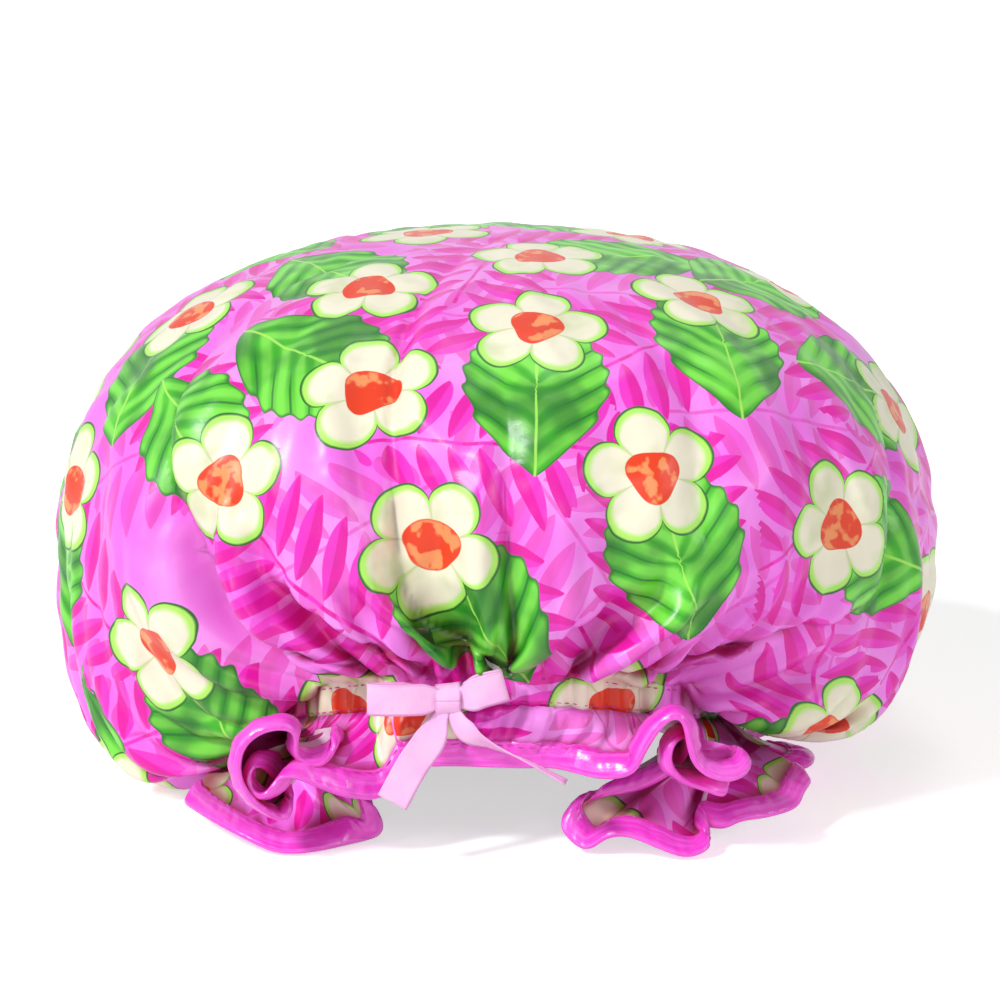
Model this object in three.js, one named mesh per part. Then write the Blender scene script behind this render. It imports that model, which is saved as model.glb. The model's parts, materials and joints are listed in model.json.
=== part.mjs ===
// A bouffant shower cap of printed satin, puffed as it is worn, standing on its gathered frill.
// Millimetres, +Z up, the front faces -Y. Angles go round the cap from the front, towards +X.
import * as THREE from 'three';

// Crown: the puffed part of the satin disc
const crownWidth = 288;
const crownFrontReach = 128;
const crownBackReach = 141;
const crownTop = 173;
const crownWidestHeight = 67;
const crownFrontWidestHeight = 90;
const crownFullness = 2.4;
const crownUnderside = -8;
const crownLean = 15;
const crownUndersideReach = 36;
const crownFrontReachPastOpening = 9;
const crownFrontDrop = 5;

// Gathers and main folds of the crown
const gatherCount = 32;
const gatherDepth = 3.4;
const casingGatherDepth = 0.6;
const foldDepth = 9;
const foldWidth = 11;
const foldSkew = 0.8;

// Opening: the line on which the elastic gathers the disc
const openingWidth = 150;
const openingDepth = 170;
const openingForward = 30;
const openingHeight = 20;
const openingFrontHeight = 54;
const openingRise = 2.5;

// Cloths, elastic, tape and threads
const satinThickness = 0.9;
const liningThickness = 0.6;
const elasticWidth = 7;
const elasticThickness = 0.8;
const tapeWidth = 10;
const tapeThickness = 0.5;
const threadThickness = 0.5;
const casingThreadInset = 1.2;
const seatGap = 0.3;

// Frill below the gathers, and the binding on its edge
const ruffleCount = 16;
const ruffleDepth = 9;
const ruffleLean = 2;
const archRuffleDepth = 1.5;
const frillFlare = 15;
const sideFlare = 13;
const flareLean = 8;
const archFlare = 2;
const archHeight = 32;
const archHalfWidth = 17;
const archShoulder = 19;
const archOffset = -3;
const archCalm = 6;
const bindingDepth = 8;
const bindingThickness = 0.8;
const bindingRoom = 0.7;
const footCut = 0.5;

// Bow of narrow ribbon, left of the middle
const ribbonWidth = 10;
const ribbonThickness = 0.8;
const bowPlace = -14;
const bowDrop = 1.2;
const knotWidth = 8;
const knotHeight = 11;
const knotDepth = 5.5;
const knotRounding = 1.6;
const leftLoopLength = 25;
const rightLoopLength = 17;
const loopPuff = 5;
const loopLift = 2.4;
const loopForward = 5;
const leftTailDrop = 24;
const leftTailSpread = 16;
const rightTailDrop = 17;
const rightTailSpread = 34;
const tailStandOff = 10;
const tailSpacing = 6;
const tailPinchShare = 0.45;
const tailSpreadShare = 0.7;
const tackLength = 4;

// How finely the surfaces are divided
const crownColumns = 2 * gatherCount;
const frillColumns = 8 * ruffleCount;
const upperShares = [0.24, 0.46, 0.66, 0.84, 1];
const lowerShares = [0.36, 0.7, 1];
const frillShares = [0, 0.5];
const threadSides = 3;
const ribbonSteps = 10;

// How far down the crown stays wide below its widest line
const lowerFullnessShare = 0.7;

// Where the raised front of the crown begins to sag, and where it has sagged all the way, in turns
const frontTurnShare = 0.11;
const sideTurnShare = 0.2;

// Main folds: turns at the opening, half way and at the far end, then depth, reach and width shares
const foldShares = [
  [0.004, -0.012, -0.058, 0.95, 0.9, 0.85],
  [0.012, 0.006, 0.004, 0.65, 0.64, 0.65],
  [-0.14, -0.07, -0.16, 1, 0.72, 1],
  [-0.08, -0.06, -0.085, 0.65, 0.55, 0.7],
  [0.118, 0.155, 0.172, 0.95, 0.6, 0.9],
  [0.104, 0.088, 0.097, 0.55, 0.55, 0.75],
  [0.044, 0.038, 0.057, 0.6, 0.54, 0.7],
  [-0.036, -0.03, -0.058, 0.5, 0.58, 0.65],
  [-0.17, -0.145, -0.155, 0.6, 0.55, 0.9],
  [-0.205, -0.21, -0.22, 0.8, 0.6, 0.9],
  [-0.285, -0.285, -0.28, 0.8, 0.6, 0.9],
  [-0.325, -0.335, -0.33, 0.9, 0.75, 0.9],
  [-0.39, -0.4, -0.41, 0.9, 0.75, 1],
  [-0.46, -0.46, -0.455, 0.8, 0.65, 0.9],
  [0.46, 0.46, 0.46, 0.9, 0.75, 1],
  [0.41, 0.405, 0.4, 0.8, 0.7, 0.9],
  [0.35, 0.35, 0.355, 0.9, 0.75, 1],
  [0.29, 0.285, 0.28, 0.8, 0.65, 0.9],
  [0.215, 0.215, 0.22, 0.8, 0.55, 0.9],
];

// Each fold is a valley between two low shoulders
const shoulderShare = 0.3;
const shoulderPlaceShare = 1.9;

const fullTurn = 2 * Math.PI;
const { clamp, lerp, smoothstep } = THREE.MathUtils;
const outward = (angle) => new THREE.Vector3(Math.sin(angle), -Math.cos(angle), 0);
const sideways = (angle) => new THREE.Vector3(Math.cos(angle), Math.sin(angle), 0);

// 1 over the raised front of the crown, 0 over its sagging sides and back
function frontShare(angle) {
  const turn = Math.abs(angle / fullTurn - Math.round(angle / fullTurn));
  return 1 - smoothstep(turn, frontTurnShare, sideTurnShare);
}

// The gathered line, at half the height of the casing
function openingPoint(angle) {
  const x = (openingWidth / 2) * Math.sin(angle);
  const y = -openingForward - (openingDepth / 2) * Math.cos(angle);
  const rise = ((1 + Math.cos(angle)) / 2) ** openingRise;
  return new THREE.Vector3(x, y, lerp(openingHeight, openingFrontHeight, rise));
}

// The crown's widest line, where its upper and lower parts meet
function widestPoint(angle) {
  const reach = Math.cos(angle) > 0 ? crownFrontReach : crownBackReach;
  const height = lerp(crownWidestHeight, crownFrontWidestHeight, frontShare(angle));
  return new THREE.Vector3((crownWidth / 2) * Math.sin(angle), -reach * Math.cos(angle), height);
}

function upperCrownPoint(angle, share) {
  const widest = widestPoint(angle);
  const bend = 2 / crownFullness;
  const across = Math.sin((share * Math.PI) / 2) ** bend;
  const up = Math.max(Math.cos((share * Math.PI) / 2), 0) ** bend;
  return new THREE.Vector3(widest.x * across, widest.y * across, lerp(widest.z, crownTop, up));
}

function lowerCrownPoint(angle, share) {
  const front = frontShare(angle);
  const widest = widestPoint(angle);
  const end = openingPoint(angle).add(new THREE.Vector3(0, 0, tapeWidth / 2));
  const low = crownUnderside + crownLean * Math.sin(angle);
  const hang = end.clone();
  hang.addScaledVector(outward(angle), lerp(crownUndersideReach, crownFrontReachPastOpening, front));
  hang.z = lerp(low, end.z + crownFrontDrop, front);
  const under = widest.clone().setZ(lerp(widest.z, hang.z, lowerFullnessShare));
  return new THREE.CubicBezierCurve3(widest, under, hang, end).getPoint(share);
}

// How far the satin lies in or out of its smooth shape; height is 0 at the opening and 1 at the top
function foldOffset(angle, height, radius, depth, column) {
  let offset = depth * (column % 2 === 0 ? 1 : -1);
  for (const [nearTurn, middleTurn, farTurn, depthShare, reachShare, widthShare] of foldShares) {
    const along = clamp(height / reachShare, 0, 1);
    const line = lerp(lerp(nearTurn, middleTurn, along), lerp(middleTurn, farTurn, along), along);
    const turn = angle / fullTurn - line;
    const apart = (Math.abs(turn - Math.round(turn)) * fullTurn * radius) / (foldWidth * widthShare);
    const valley = Math.exp(-(apart ** 2)) - shoulderShare * Math.exp(-((apart - shoulderPlaceShare) ** 2));
    offset -= foldDepth * depthShare * Math.sin(Math.PI * along ** foldSkew) * valley;
  }
  return offset;
}

function ringOf(columns, pointAt) {
  return Array.from({ length: columns }, (_, column) => pointAt((fullTurn * column) / columns, column));
}

// The crown's outer surface as rings of points, from the top down to the lower edge of the casing
function crownRings() {
  const lastUpper = upperShares.length;
  const folded = (smooth, angle, height, depth, column) => {
    const radius = Math.hypot(smooth.x, smooth.y);
    return smooth.addScaledVector(outward(angle), foldOffset(angle, height, radius, depth, column));
  };
  const upper = upperShares.map((share, row) => ringOf(crownColumns, (angle, column) => {
    const height = lerp(1, 1 / 2, (row + 1) / lastUpper);
    return folded(upperCrownPoint(angle, share), angle, height, (gatherDepth / 3) * share ** 4, column);
  }));
  const lower = lowerShares.map((share) => ringOf(crownColumns, (angle, column) => {
    const depth = share === 1 ? casingGatherDepth : lerp(gatherDepth / 3, gatherDepth, share);
    return folded(lowerCrownPoint(angle, share), angle, (1 - share) / 2, depth, column);
  }));
  const edge = lower.at(-1).map((point) => point.clone().setZ(point.z - tapeWidth));
  const top = ringOf(crownColumns, () => new THREE.Vector3(0, 0, crownTop));
  return [top, ...upper, ...lower, edge];
}

// Unit normals of a sheet of rings, pointing out of the cap: the mean of the four faces round each point
function normalsOf(rings) {
  const faceNormal = (row, column) => {
    const [upper, lower] = [rings[row], rings[row + 1]];
    const next = (column + 1) % upper.length;
    const down = new THREE.Vector3().subVectors(lower[next], upper[column]);
    const round = new THREE.Vector3().subVectors(upper[next], lower[column]);
    return down.cross(round).normalize();
  };
  return rings.map((ring, row) => ring.map((point, column) => {
    const normal = new THREE.Vector3();
    for (const near of [row - 1, row].filter((index) => index >= 0 && index < rings.length - 1)) {
      normal.add(faceNormal(near, column)).add(faceNormal(near, (column + ring.length - 1) % ring.length));
    }
    const isTop = ring.every((other) => other.distanceToSquared(ring[0]) === 0);
    return isTop ? new THREE.Vector3(0, 0, 1) : normal.normalize();
  }));
}

// Moves every point of a sheet along its normal
function shifted(rings, normals, distance) {
  return rings.map((ring, row) => ring.map((point, column) =>
    point.clone().addScaledVector(normals[row][column], distance)));
}

// A closed solid whose skin is a band of quads from each ring to the next. Bands that run back up a cloth
// are split along the other diagonal, so that both faces of the cloth bend alike.
function solidFromRings(rings, closed, runsBack = () => false) {
  const positions = [];
  const index = [];
  const starts = rings.map((ring) => {
    const start = positions.length / 3;
    const isPoint = ring.every((point) => point.distanceToSquared(ring[0]) === 0);
    (isPoint ? ring.slice(0, 1) : ring).forEach((point) => positions.push(point.x, point.y, point.z));
    return { start, isPoint, count: ring.length };
  });
  const vertex = ({ start, isPoint, count }, column) => (isPoint ? start : start + (column % count));
  const pairs = closed ? rings.length : rings.length - 1;
  for (let row = 0; row < pairs; row += 1) {
    const upper = starts[row];
    const lower = starts[(row + 1) % rings.length];
    for (let column = 0; column < upper.count; column += 1) {
      const [a, b] = [vertex(upper, column), vertex(upper, column + 1)];
      const [c, d] = [vertex(lower, column + 1), vertex(lower, column)];
      const split = runsBack(row) ? [[a, d, b], [b, d, c]] : [[a, d, c], [a, c, b]];
      split.filter((face) => new Set(face).size === face.length).forEach((face) => index.push(...face));
    }
  }
  const geometry = new THREE.BufferGeometry();
  geometry.setAttribute('position', new THREE.Float32BufferAttribute(positions, 3));
  geometry.setIndex(index);
  return geometry;
}

// A sheet with an outer and an inner face, joined round its lower edge and, unless it has a top, its upper one
function sheetSolid(outer, inner, hasTop) {
  return solidFromRings([...outer, ...inner.slice().reverse()], !hasTop, (row) => row >= outer.length);
}

// A band that follows the opening: its section runs down the outside and back up the inside
function casingRing(depth, thickness, height, lift) {
  const corners = [
    [-depth, height / 2], [-depth, -height / 2],
    [-depth - thickness, -height / 2], [-depth - thickness, height / 2],
  ];
  return solidFromRings(corners.map(([across, up]) => ringOf(crownColumns, (angle) => {
    const point = openingPoint(angle).addScaledVector(outward(angle), across);
    return point.setZ(point.z + up + lift);
  })), true);
}

// A round thread that follows a ring of points
function threadSolid(centres, acrossAt) {
  const radius = threadThickness / 2;
  const rings = Array.from({ length: threadSides }, (_, side) => {
    const turn = (-fullTurn * side) / threadSides;
    return centres.map((centre, column) => centre.clone()
      .addScaledVector(acrossAt(column), radius * Math.cos(turn))
      .setZ(centre.z + radius * Math.sin(turn)));
  });
  return solidFromRings(rings, true);
}

// 1 in the middle of the front arch, 0 past its shoulders
function archShare(angle) {
  if (Math.cos(angle) <= 0) return 0;
  const apart = Math.abs((openingWidth / 2) * Math.sin(angle) - archOffset);
  return 1 - smoothstep(apart, archHalfWidth, archHalfWidth + archShoulder);
}

// The binding's slot takes the cut edge with room on both sides, and its skin goes round the slot
const slotHalf = satinThickness / 2 + bindingRoom;
const skinHalf = slotHalf + bindingThickness;
const bindingReach = skinHalf + bindingRoom;

// The frill's middle surface; share is 0 at the casing and 1 at the cut edge
function frillPoint(angle, share) {
  const arch = archShare(angle);
  const top = openingPoint(angle);
  const start = top.clone().addScaledVector(outward(angle), -satinThickness / 2);
  start.z -= tapeWidth / 2 + seatGap + satinThickness / 4;
  const flare = lerp(frillFlare, sideFlare + flareLean * Math.sin(angle), Math.sin(angle) ** 4);
  const edge = start.clone().addScaledVector(outward(angle), lerp(flare, archFlare, arch));
  edge.z = lerp(bindingReach - footCut, archHeight, arch);
  const wave = ruffleCount * angle;
  const depth = lerp(archRuffleDepth, ruffleDepth, (1 - arch) ** archCalm) * share;
  return start.lerp(edge, share)
    .addScaledVector(outward(angle), depth * Math.cos(wave))
    .addScaledVector(sideways(angle), (ruffleLean * depth * Math.sin(2 * wave)) / ruffleDepth);
}

// Rings of the frill's middle surface; the last band is the one that the binding covers
function frillRings() {
  const rings = frillShares.map((share) => ringOf(frillColumns, (angle) => frillPoint(angle, share)));
  const edge = ringOf(frillColumns, (angle) => frillPoint(angle, 1));
  const bound = edge.map((point, column) => {
    const inner = frillPoint((fullTurn * column) / frillColumns, frillShares.at(-1));
    const up = inner.sub(point).setLength(bindingDepth - bindingReach);
    return point.clone().add(up);
  });
  return [...rings, bound, edge];
}

// The band inside the binding is straight, so both of its rings face the same way
const frill = frillRings();
const frillNormals = normalsOf(frill);
frillNormals[frill.length - 2] = frillNormals.at(-1);

function frillGeometry() {
  const half = satinThickness / 2;
  return sheetSolid(shifted(frill, frillNormals, half), shifted(frill, frillNormals, -half), false);
}

// The binding is folded round the cut edge: down the outside, under it and up the inside. Its foot is level,
// and where the cap stands the foot is cut flat on the ground.
function bindingGeometry() {
  const [upper, edge] = frill.slice(-2);
  const [upperNormals, edgeNormals] = frillNormals.slice(-2);
  const upperRing = (distance) => shifted([upper], [upperNormals], distance)[0];
  const lowered = (distance, drop) => edge.map((point, column) => {
    const normal = edgeNormals[column];
    const down = point.clone().sub(upper[column]).normalize();
    const level = drop === bindingReach ? Math.max(point.z - drop, 0) : point.z + distance * normal.z - drop;
    const fall = (point.z + distance * normal.z - level) / -down.z;
    return point.clone().addScaledVector(normal, distance).addScaledVector(down, fall);
  });
  return solidFromRings([
    upperRing(skinHalf), lowered(skinHalf, bindingReach),
    lowered(-skinHalf, bindingReach), upperRing(-skinHalf),
    upperRing(-slotHalf), lowered(-slotHalf, bindingRoom),
    lowered(slotHalf, bindingRoom), upperRing(slotHalf),
  ], true, (row) => row % 4 === 2);
}

function bindingThreadGeometry() {
  const away = skinHalf + seatGap + threadThickness / 2;
  const centres = frill.at(-2).map((point, column) => {
    const lower = point.clone().lerp(frill.at(-1)[column], threadThickness / bindingDepth);
    return lower.addScaledVector(frillNormals.at(-2)[column], away);
  });
  return threadSolid(centres, (column) => frillNormals.at(-2)[column]);
}

// A ribbon along a list of places, each with the direction of its width, as long as the share that lies flat
function ribbonSolid(places, widths) {
  const corners = [[1, 1], [1, -1], [-1, -1], [-1, 1]];
  const rings = places.map((place, step) => {
    const before = places[Math.max(step - 1, 0)];
    const after = places[Math.min(step + 1, places.length - 1)];
    const across = widths[step].clone().normalize();
    const face = new THREE.Vector3().subVectors(after, before).cross(across).normalize();
    return corners.map(([side, front]) => place.clone()
      .addScaledVector(across, (side * ribbonWidth * widths[step].length()) / 2)
      .addScaledVector(face, (front * ribbonThickness) / 2));
  });
  const centreOf = (ring) => ring.reduce((sum, point) => sum.add(point), new THREE.Vector3())
    .divideScalar(ring.length);
  const capped = [
    rings[0].map(() => centreOf(rings[0])), ...rings, rings.at(-1).map(() => centreOf(rings.at(-1))),
  ];
  return solidFromRings(capped, false);
}

// Where the bow is sewn to the gathers on the casing: the stitch lies between them and the knot
const bowSeat = openingPoint(Math.asin(bowPlace / (openingWidth / 2)));
const tackCentre = bowSeat.clone().setZ(bowSeat.z - bowDrop);
tackCentre.y -= casingGatherDepth + seatGap + threadThickness / 2;
const knotCentre = tackCentre.clone();
knotCentre.y -= threadThickness / 2 + seatGap + knotDepth / 2;

function knotGeometry() {
  const [halfDepth, halfHeight] = [knotDepth / 2 - knotRounding, knotHeight / 2 - knotRounding];
  const shape = new THREE.Shape();
  shape.absarc(halfDepth, halfHeight, knotRounding, 0, Math.PI / 2);
  shape.absarc(-halfDepth, halfHeight, knotRounding, Math.PI / 2, Math.PI);
  shape.absarc(-halfDepth, -halfHeight, knotRounding, Math.PI, (3 * Math.PI) / 2);
  shape.absarc(halfDepth, -halfHeight, knotRounding, (3 * Math.PI) / 2, fullTurn);
  return new THREE.ExtrudeGeometry(shape, { depth: knotWidth, bevelEnabled: false, curveSegments: 4 })
    .translate(0, 0, -knotWidth / 2)
    .rotateX(Math.PI / 2)
    .rotateZ(Math.PI / 2);
}

// One loop of the bow: out along the front, round the tip and back behind
function loopGeometry(side, length) {
  const start = knotWidth / 2 + seatGap;
  const puffHalf = loopPuff / 2;
  const frontSpread = ribbonThickness;
  const outline = new THREE.CatmullRomCurve3([
    new THREE.Vector3(start, -frontSpread, 0),
    new THREE.Vector3(start + length / 3, -puffHalf, loopLift / 3),
    new THREE.Vector3(start + (2 * length) / 3, -puffHalf, (2 * loopLift) / 3),
    new THREE.Vector3(start + length, 0, loopLift),
    new THREE.Vector3(start + (2 * length) / 3, puffHalf, (2 * loopLift) / 3),
    new THREE.Vector3(start + length / 3, puffHalf, loopLift / 3),
    new THREE.Vector3(start, frontSpread, 0),
  ]);
  const places = outline.getPoints(2 * ribbonSteps)
    .map(({ x, y, z }) => new THREE.Vector3(side * x, y - (loopForward * (x - start)) / length, z + loopLift));
  return ribbonSolid(places, places.map(() => new THREE.Vector3(0, 0, side)));
}

// One hanging tail, from its hinge under the knot; its width turns towards endWidth
function tailGeometry(spread, drop, endWidth) {
  const outline = new THREE.CatmullRomCurve3([
    new THREE.Vector3(0, 0, 0),
    new THREE.Vector3(spread / 4, -tailStandOff / 2, -drop / 3),
    new THREE.Vector3((5 * spread) / 8, (-7 * tailStandOff) / 8, (-2 * drop) / 3),
    new THREE.Vector3(spread, -tailStandOff, -drop),
  ]);
  const places = outline.getPoints(ribbonSteps);
  const startWidth = new THREE.Vector3(tailPinchShare, 0, 0);
  const widths = places.map((_, step) => {
    const spreadShare = smoothstep(step / ribbonSteps, 0, tailSpreadShare);
    return startWidth.clone().lerp(endWidth, spreadShare).setLength(lerp(tailPinchShare, 1, spreadShare));
  });
  return ribbonSolid(places, widths);
}

const tailSeat = knotCentre.clone();
tailSeat.y -= knotDepth / 4;
tailSeat.z -= knotHeight / 2 + seatGap + ribbonThickness / 2;

function cloth(color, roughness) {
  return new THREE.MeshStandardMaterial({ color, roughness, metalness: 0, side: THREE.DoubleSide });
}

const satin = cloth(0xf07ae8, 0.35);
const bindingSatin = cloth(0xf03cc8, 0.3);
const liningFilm = cloth(0xf4f4f2, 0.45);
const elasticWeave = cloth(0xffffff, 0.8);
const tapeWeave = cloth(0xf6d6f0, 0.7);
const pinkThread = cloth(0xe030b0, 0.6);
const ribbonSatin = cloth(0xf8c4ee, 0.35);

const cap = new THREE.Group();

function addPiece(name, geometry, material, place) {
  const mesh = new THREE.Mesh(geometry, material);
  mesh.name = name;
  if (place) mesh.position.copy(place);
  cap.add(mesh);
  return mesh;
}

function addCrown() {
  const outer = crownRings();
  const normals = normalsOf(outer);
  addPiece('crown_satin', sheetSolid(outer, shifted(outer, normals, -satinThickness), true), satin);
  const lined = outer.slice(0, -1);
  const linedNormals = normals.slice(0, -1);
  const near = -satinThickness - seatGap;
  addPiece('waterproof_lining', sheetSolid(
    shifted(lined, linedNormals, near),
    shifted(lined, linedNormals, near - liningThickness), true), liningFilm);
}

function addCasing() {
  const elasticDepth = satinThickness + casingGatherDepth + seatGap;
  const tapeDepth = elasticDepth + elasticThickness + seatGap;
  const threadDepth = tapeDepth + tapeThickness + seatGap + threadThickness / 2;
  addPiece('elastic_band', casingRing(elasticDepth, elasticThickness, elasticWidth, 0), elasticWeave);
  addPiece('casing_tape', casingRing(tapeDepth, tapeThickness, tapeWidth, 0), tapeWeave);
  for (const [name, side] of [['casing_thread_upper', 1], ['casing_thread_lower', -1]]) {
    const centres = ringOf(crownColumns, (angle) => {
      const point = openingPoint(angle).addScaledVector(outward(angle), -threadDepth);
      return point.setZ(point.z + side * (tapeWidth / 2 - casingThreadInset));
    });
    const acrossAt = (column) => outward((fullTurn * column) / crownColumns);
    addPiece(name, threadSolid(centres, acrossAt), pinkThread);
  }
}

function addFrill() {
  addPiece('frill_satin', frillGeometry(), satin);
  addPiece('hem_binding', bindingGeometry(), bindingSatin);
  addPiece('binding_thread', bindingThreadGeometry(), pinkThread);
}

function addBow() {
  const stitch = new THREE.CylinderGeometry(threadThickness / 2, threadThickness / 2, tackLength, threadSides);
  addPiece('bow_tack_thread', stitch.rotateX(Math.PI / 2), pinkThread, tackCentre);
  addPiece('bow_knot', knotGeometry(), ribbonSatin, knotCentre);
  addPiece('bow_loop_left', loopGeometry(-1, leftLoopLength), ribbonSatin, knotCentre);
  addPiece('bow_loop_right', loopGeometry(1, rightLoopLength), ribbonSatin, knotCentre);
  const leftSeat = tailSeat.clone().setX(tailSeat.x - tailSpacing / 2);
  const rightSeat = tailSeat.clone().setX(tailSeat.x + tailSpacing / 2);
  const flat = new THREE.Vector3(leftTailDrop, 0, -leftTailSpread).normalize();
  const edgeOn = new THREE.Vector3(0, -1, 0);
  addPiece('bow_tail_left', tailGeometry(-leftTailSpread, leftTailDrop, flat), ribbonSatin, leftSeat);
  addPiece('bow_tail_right', tailGeometry(rightTailSpread, rightTailDrop, edgeOn), ribbonSatin, rightSeat);
}

addCrown();
addCasing();
addFrill();
addBow();

// The origin is on the ground, under the middle of the cap's whole outline
const outline = new THREE.Box3().setFromObject(cap, true);
const middle = outline.getCenter(new THREE.Vector3());
cap.position.set(-middle.x, -middle.y, 0);

export default cap;
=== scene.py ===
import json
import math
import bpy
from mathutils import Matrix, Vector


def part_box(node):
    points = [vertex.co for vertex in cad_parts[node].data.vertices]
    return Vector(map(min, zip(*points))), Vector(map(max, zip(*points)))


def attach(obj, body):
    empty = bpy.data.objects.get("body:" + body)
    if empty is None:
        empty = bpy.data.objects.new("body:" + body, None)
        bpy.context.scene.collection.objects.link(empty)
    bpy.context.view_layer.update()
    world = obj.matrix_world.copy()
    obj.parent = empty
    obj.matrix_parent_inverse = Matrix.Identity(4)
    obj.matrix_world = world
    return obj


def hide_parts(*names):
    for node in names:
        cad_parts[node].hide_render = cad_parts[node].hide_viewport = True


bl_info = {
    "name": "Satin Shower Cap",
    "version": (1, 0, 0),
    "blender": (4, 5, 0),
    "location": "3D View > Sidebar > Shower Cap",
    "description": "Makes a puffed cap of printed satin with a bound frill, a lining and a ribbon bow",
    "category": "Add Mesh",
}

import bpy
import numpy as np
from bpy.props import FloatProperty, FloatVectorProperty, IntProperty, PointerProperty
from mathutils import Vector
from mathutils.bvhtree import BVHTree

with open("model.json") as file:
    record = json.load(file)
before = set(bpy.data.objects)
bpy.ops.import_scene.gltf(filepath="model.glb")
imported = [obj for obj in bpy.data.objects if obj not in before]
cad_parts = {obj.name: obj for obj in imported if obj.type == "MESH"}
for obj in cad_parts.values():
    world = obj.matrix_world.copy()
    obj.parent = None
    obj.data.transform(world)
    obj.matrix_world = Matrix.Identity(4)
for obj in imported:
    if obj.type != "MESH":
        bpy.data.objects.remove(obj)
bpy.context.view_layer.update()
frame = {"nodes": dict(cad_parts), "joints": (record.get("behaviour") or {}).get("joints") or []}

MM = 0.001
TURN = 2 * math.pi
DOWN = np.array([0.0, 0.0, -1.0])
HALF_CASING = 5 * MM

crown_low, crown_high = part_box("crown_satin")
tape_low, tape_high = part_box("casing_tape")
knot_low, knot_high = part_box("bow_knot")


# Sizes and colours that a user would change


def colour(name, description, value):
    """A colour property, given as it is seen on a screen."""
    return FloatVectorProperty(
        name=name, description=description, subtype="COLOR_GAMMA", size=3, min=0, max=1,
        default=[part / 255 for part in value],
    )


def length(name, description, value):
    """A length property, given in millimetres."""
    return FloatProperty(name=name, description=description, default=value * MM, unit="LENGTH", precision=4)


def number(name, description, value):
    """A property without a unit."""
    return FloatProperty(name=name, description=description, default=value)


def count(name, description, value, least):
    """A whole number that may not be less than it makes sense for."""
    return IntProperty(name=name, description=description, default=value, min=least)


class CrownSettings(bpy.types.PropertyGroup):
    """Sizes of the puffed crown"""

    front_reach: length("Front reach", "From the crown's middle to its front", 128)
    back_reach: length("Back reach", "From the crown's middle to its back", 141)
    middle: length("Middle", "How far the crown's middle lies behind the origin", -4.08)
    widest_height: length("Widest height", "Height of the widest line at the sides and back", 67)
    front_widest_height: length("Front widest height", "Height of the widest line at the front", 90)
    fullness: number("Fullness", "2 is an ellipse, more is squarer", 2.4)
    underside: length("Underside", "Height that the sagging sides hang towards", -8)
    lean: length("Lean", "How much lower the left side hangs than the right", 15)
    underside_reach: length("Underside reach", "How far the sagging sides hang past the opening", 36)
    front_overhang: length("Front overhang", "How far the front hangs past the opening", 9)
    front_drop: length("Front drop", "How far the front hangs above the casing's top edge", 5)
    cells: count("Cells", "Squares across the cloth", 120, 20)
    cloth_thickness: length("Cloth thickness", "Thickness of the satin", 0.35)
    spare_above: number("Spare length above", "Extra cloth over the top, as a share", 0.025)
    spare_below: number("Spare length below", "Extra cloth at the gathers, as a share", 0.22)
    hold: number("Hold", "How firmly the cloth keeps to its main shape", 0.2)
    bending: number("Bending", "How stiffly the cloth bends", 0.03)


class FrillSettings(bpy.types.PropertyGroup):
    """Sizes of the casing, the frill and its binding"""

    casing_depth: length("Casing depth", "From the satin's outer face to the tape inside it", 2.9)
    rise: number("Rise", "How quickly the opening rises to its front", 2.5)
    ruffles: count("Ruffles", "Ruffles round the frill", 16, 4)
    columns: count("Columns", "Cells round the frill", 1100, 96)
    rows: count("Rows", "Cells down the frill", 12, 4)
    binding_depth: length("Binding depth", "Height of the binding on the frill's edge", 9)
    binding_thickness: length("Binding thickness", "Half the thickness of the bound edge", 0.9)
    pucker: number("Pucker", "How much the binding swells between its puckers", 0.16)


class RibbonSettings(bpy.types.PropertyGroup):
    """Sizes of the bow's ribbon"""

    width: length("Width", "Width of the ribbon", 10)
    thickness: length("Thickness", "Thickness of the ribbon", 0.45)


class ColourSettings(bpy.types.PropertyGroup):
    """Colours of the satin, its print, the binding and the ribbon, with tints that paint shade into the
    folds and sheen onto the binding
    """

    ground: colour("Ground", "Ground of the print", (243, 112, 232))
    ground_light: colour("Light ground", "Paler streaks of the ground", (250, 160, 246))
    sprig: colour("Sprig", "Tone-on-tone sprigs", (230, 22, 168))
    sprig_light: colour("Light sprig", "Lit halves of the sprigs' leaves", (240, 52, 200))
    leaf_light: colour("Light leaf", "Lit bands of the leaves", (124, 226, 74))
    leaf: colour("Leaf", "Middle green of the leaves", (58, 178, 26))
    leaf_dark: colour("Dark leaf", "Shaded bands and the outline of the leaves", (30, 104, 36))
    petal: colour("Petal", "Cream of the blossoms", (245, 240, 216))
    petal_shade: colour("Petal shade", "Shaded middle of each petal", (196, 212, 150))
    petal_rim: colour("Petal rim", "Lime rim of the blossoms", (176, 240, 100))
    heart: colour("Heart", "Middle of the blossoms", (232, 62, 26))
    heart_light: colour("Light heart", "Lit patches in the blossoms' middle", (244, 150, 92))
    binding: colour("Binding", "Satin binding", (242, 58, 208))
    # Painted sheen: lengthwise streaks of this lighter colour stand in for the binding's satin highlights
    binding_sheen: colour("Light binding", "Paler streaks of the binding", (250, 118, 236))
    # Painted shade: the binding takes this colour where it lies hidden in its folds
    shadowed: colour("Deep", "Binding deep in its folds", (214, 0, 92))
    # Painted shade: the print darkens towards this tint where the cloth lies hidden in its folds
    crease_shade: colour("Crease", "Tint that darkens the print in its folds", (186, 108, 132))
    ribbon: colour("Ribbon", "Ribbon of the bow", (252, 200, 240))
    lining: colour("Lining", "Waterproof film inside", (240, 240, 236))


class StageSettings(bpy.types.PropertyGroup):
    """Camera and light"""

    elevation: number("Elevation", "Camera height in degrees", 14)
    distance: length("Distance", "From the camera to the cap", 1300)
    focal_share: number("Focal length", "In widths of the picture", 3.9)
    aim_height: length("Aim height", "Height on the cap that the camera aims at", 84)
    aim_side: length("Aim side", "How far right of the middle the camera aims", 1.8)
    sun: number("Sun", "Strength of the main light", 2.3)
    ambient: number("Ambient", "Light from all round", 0.15)


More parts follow.
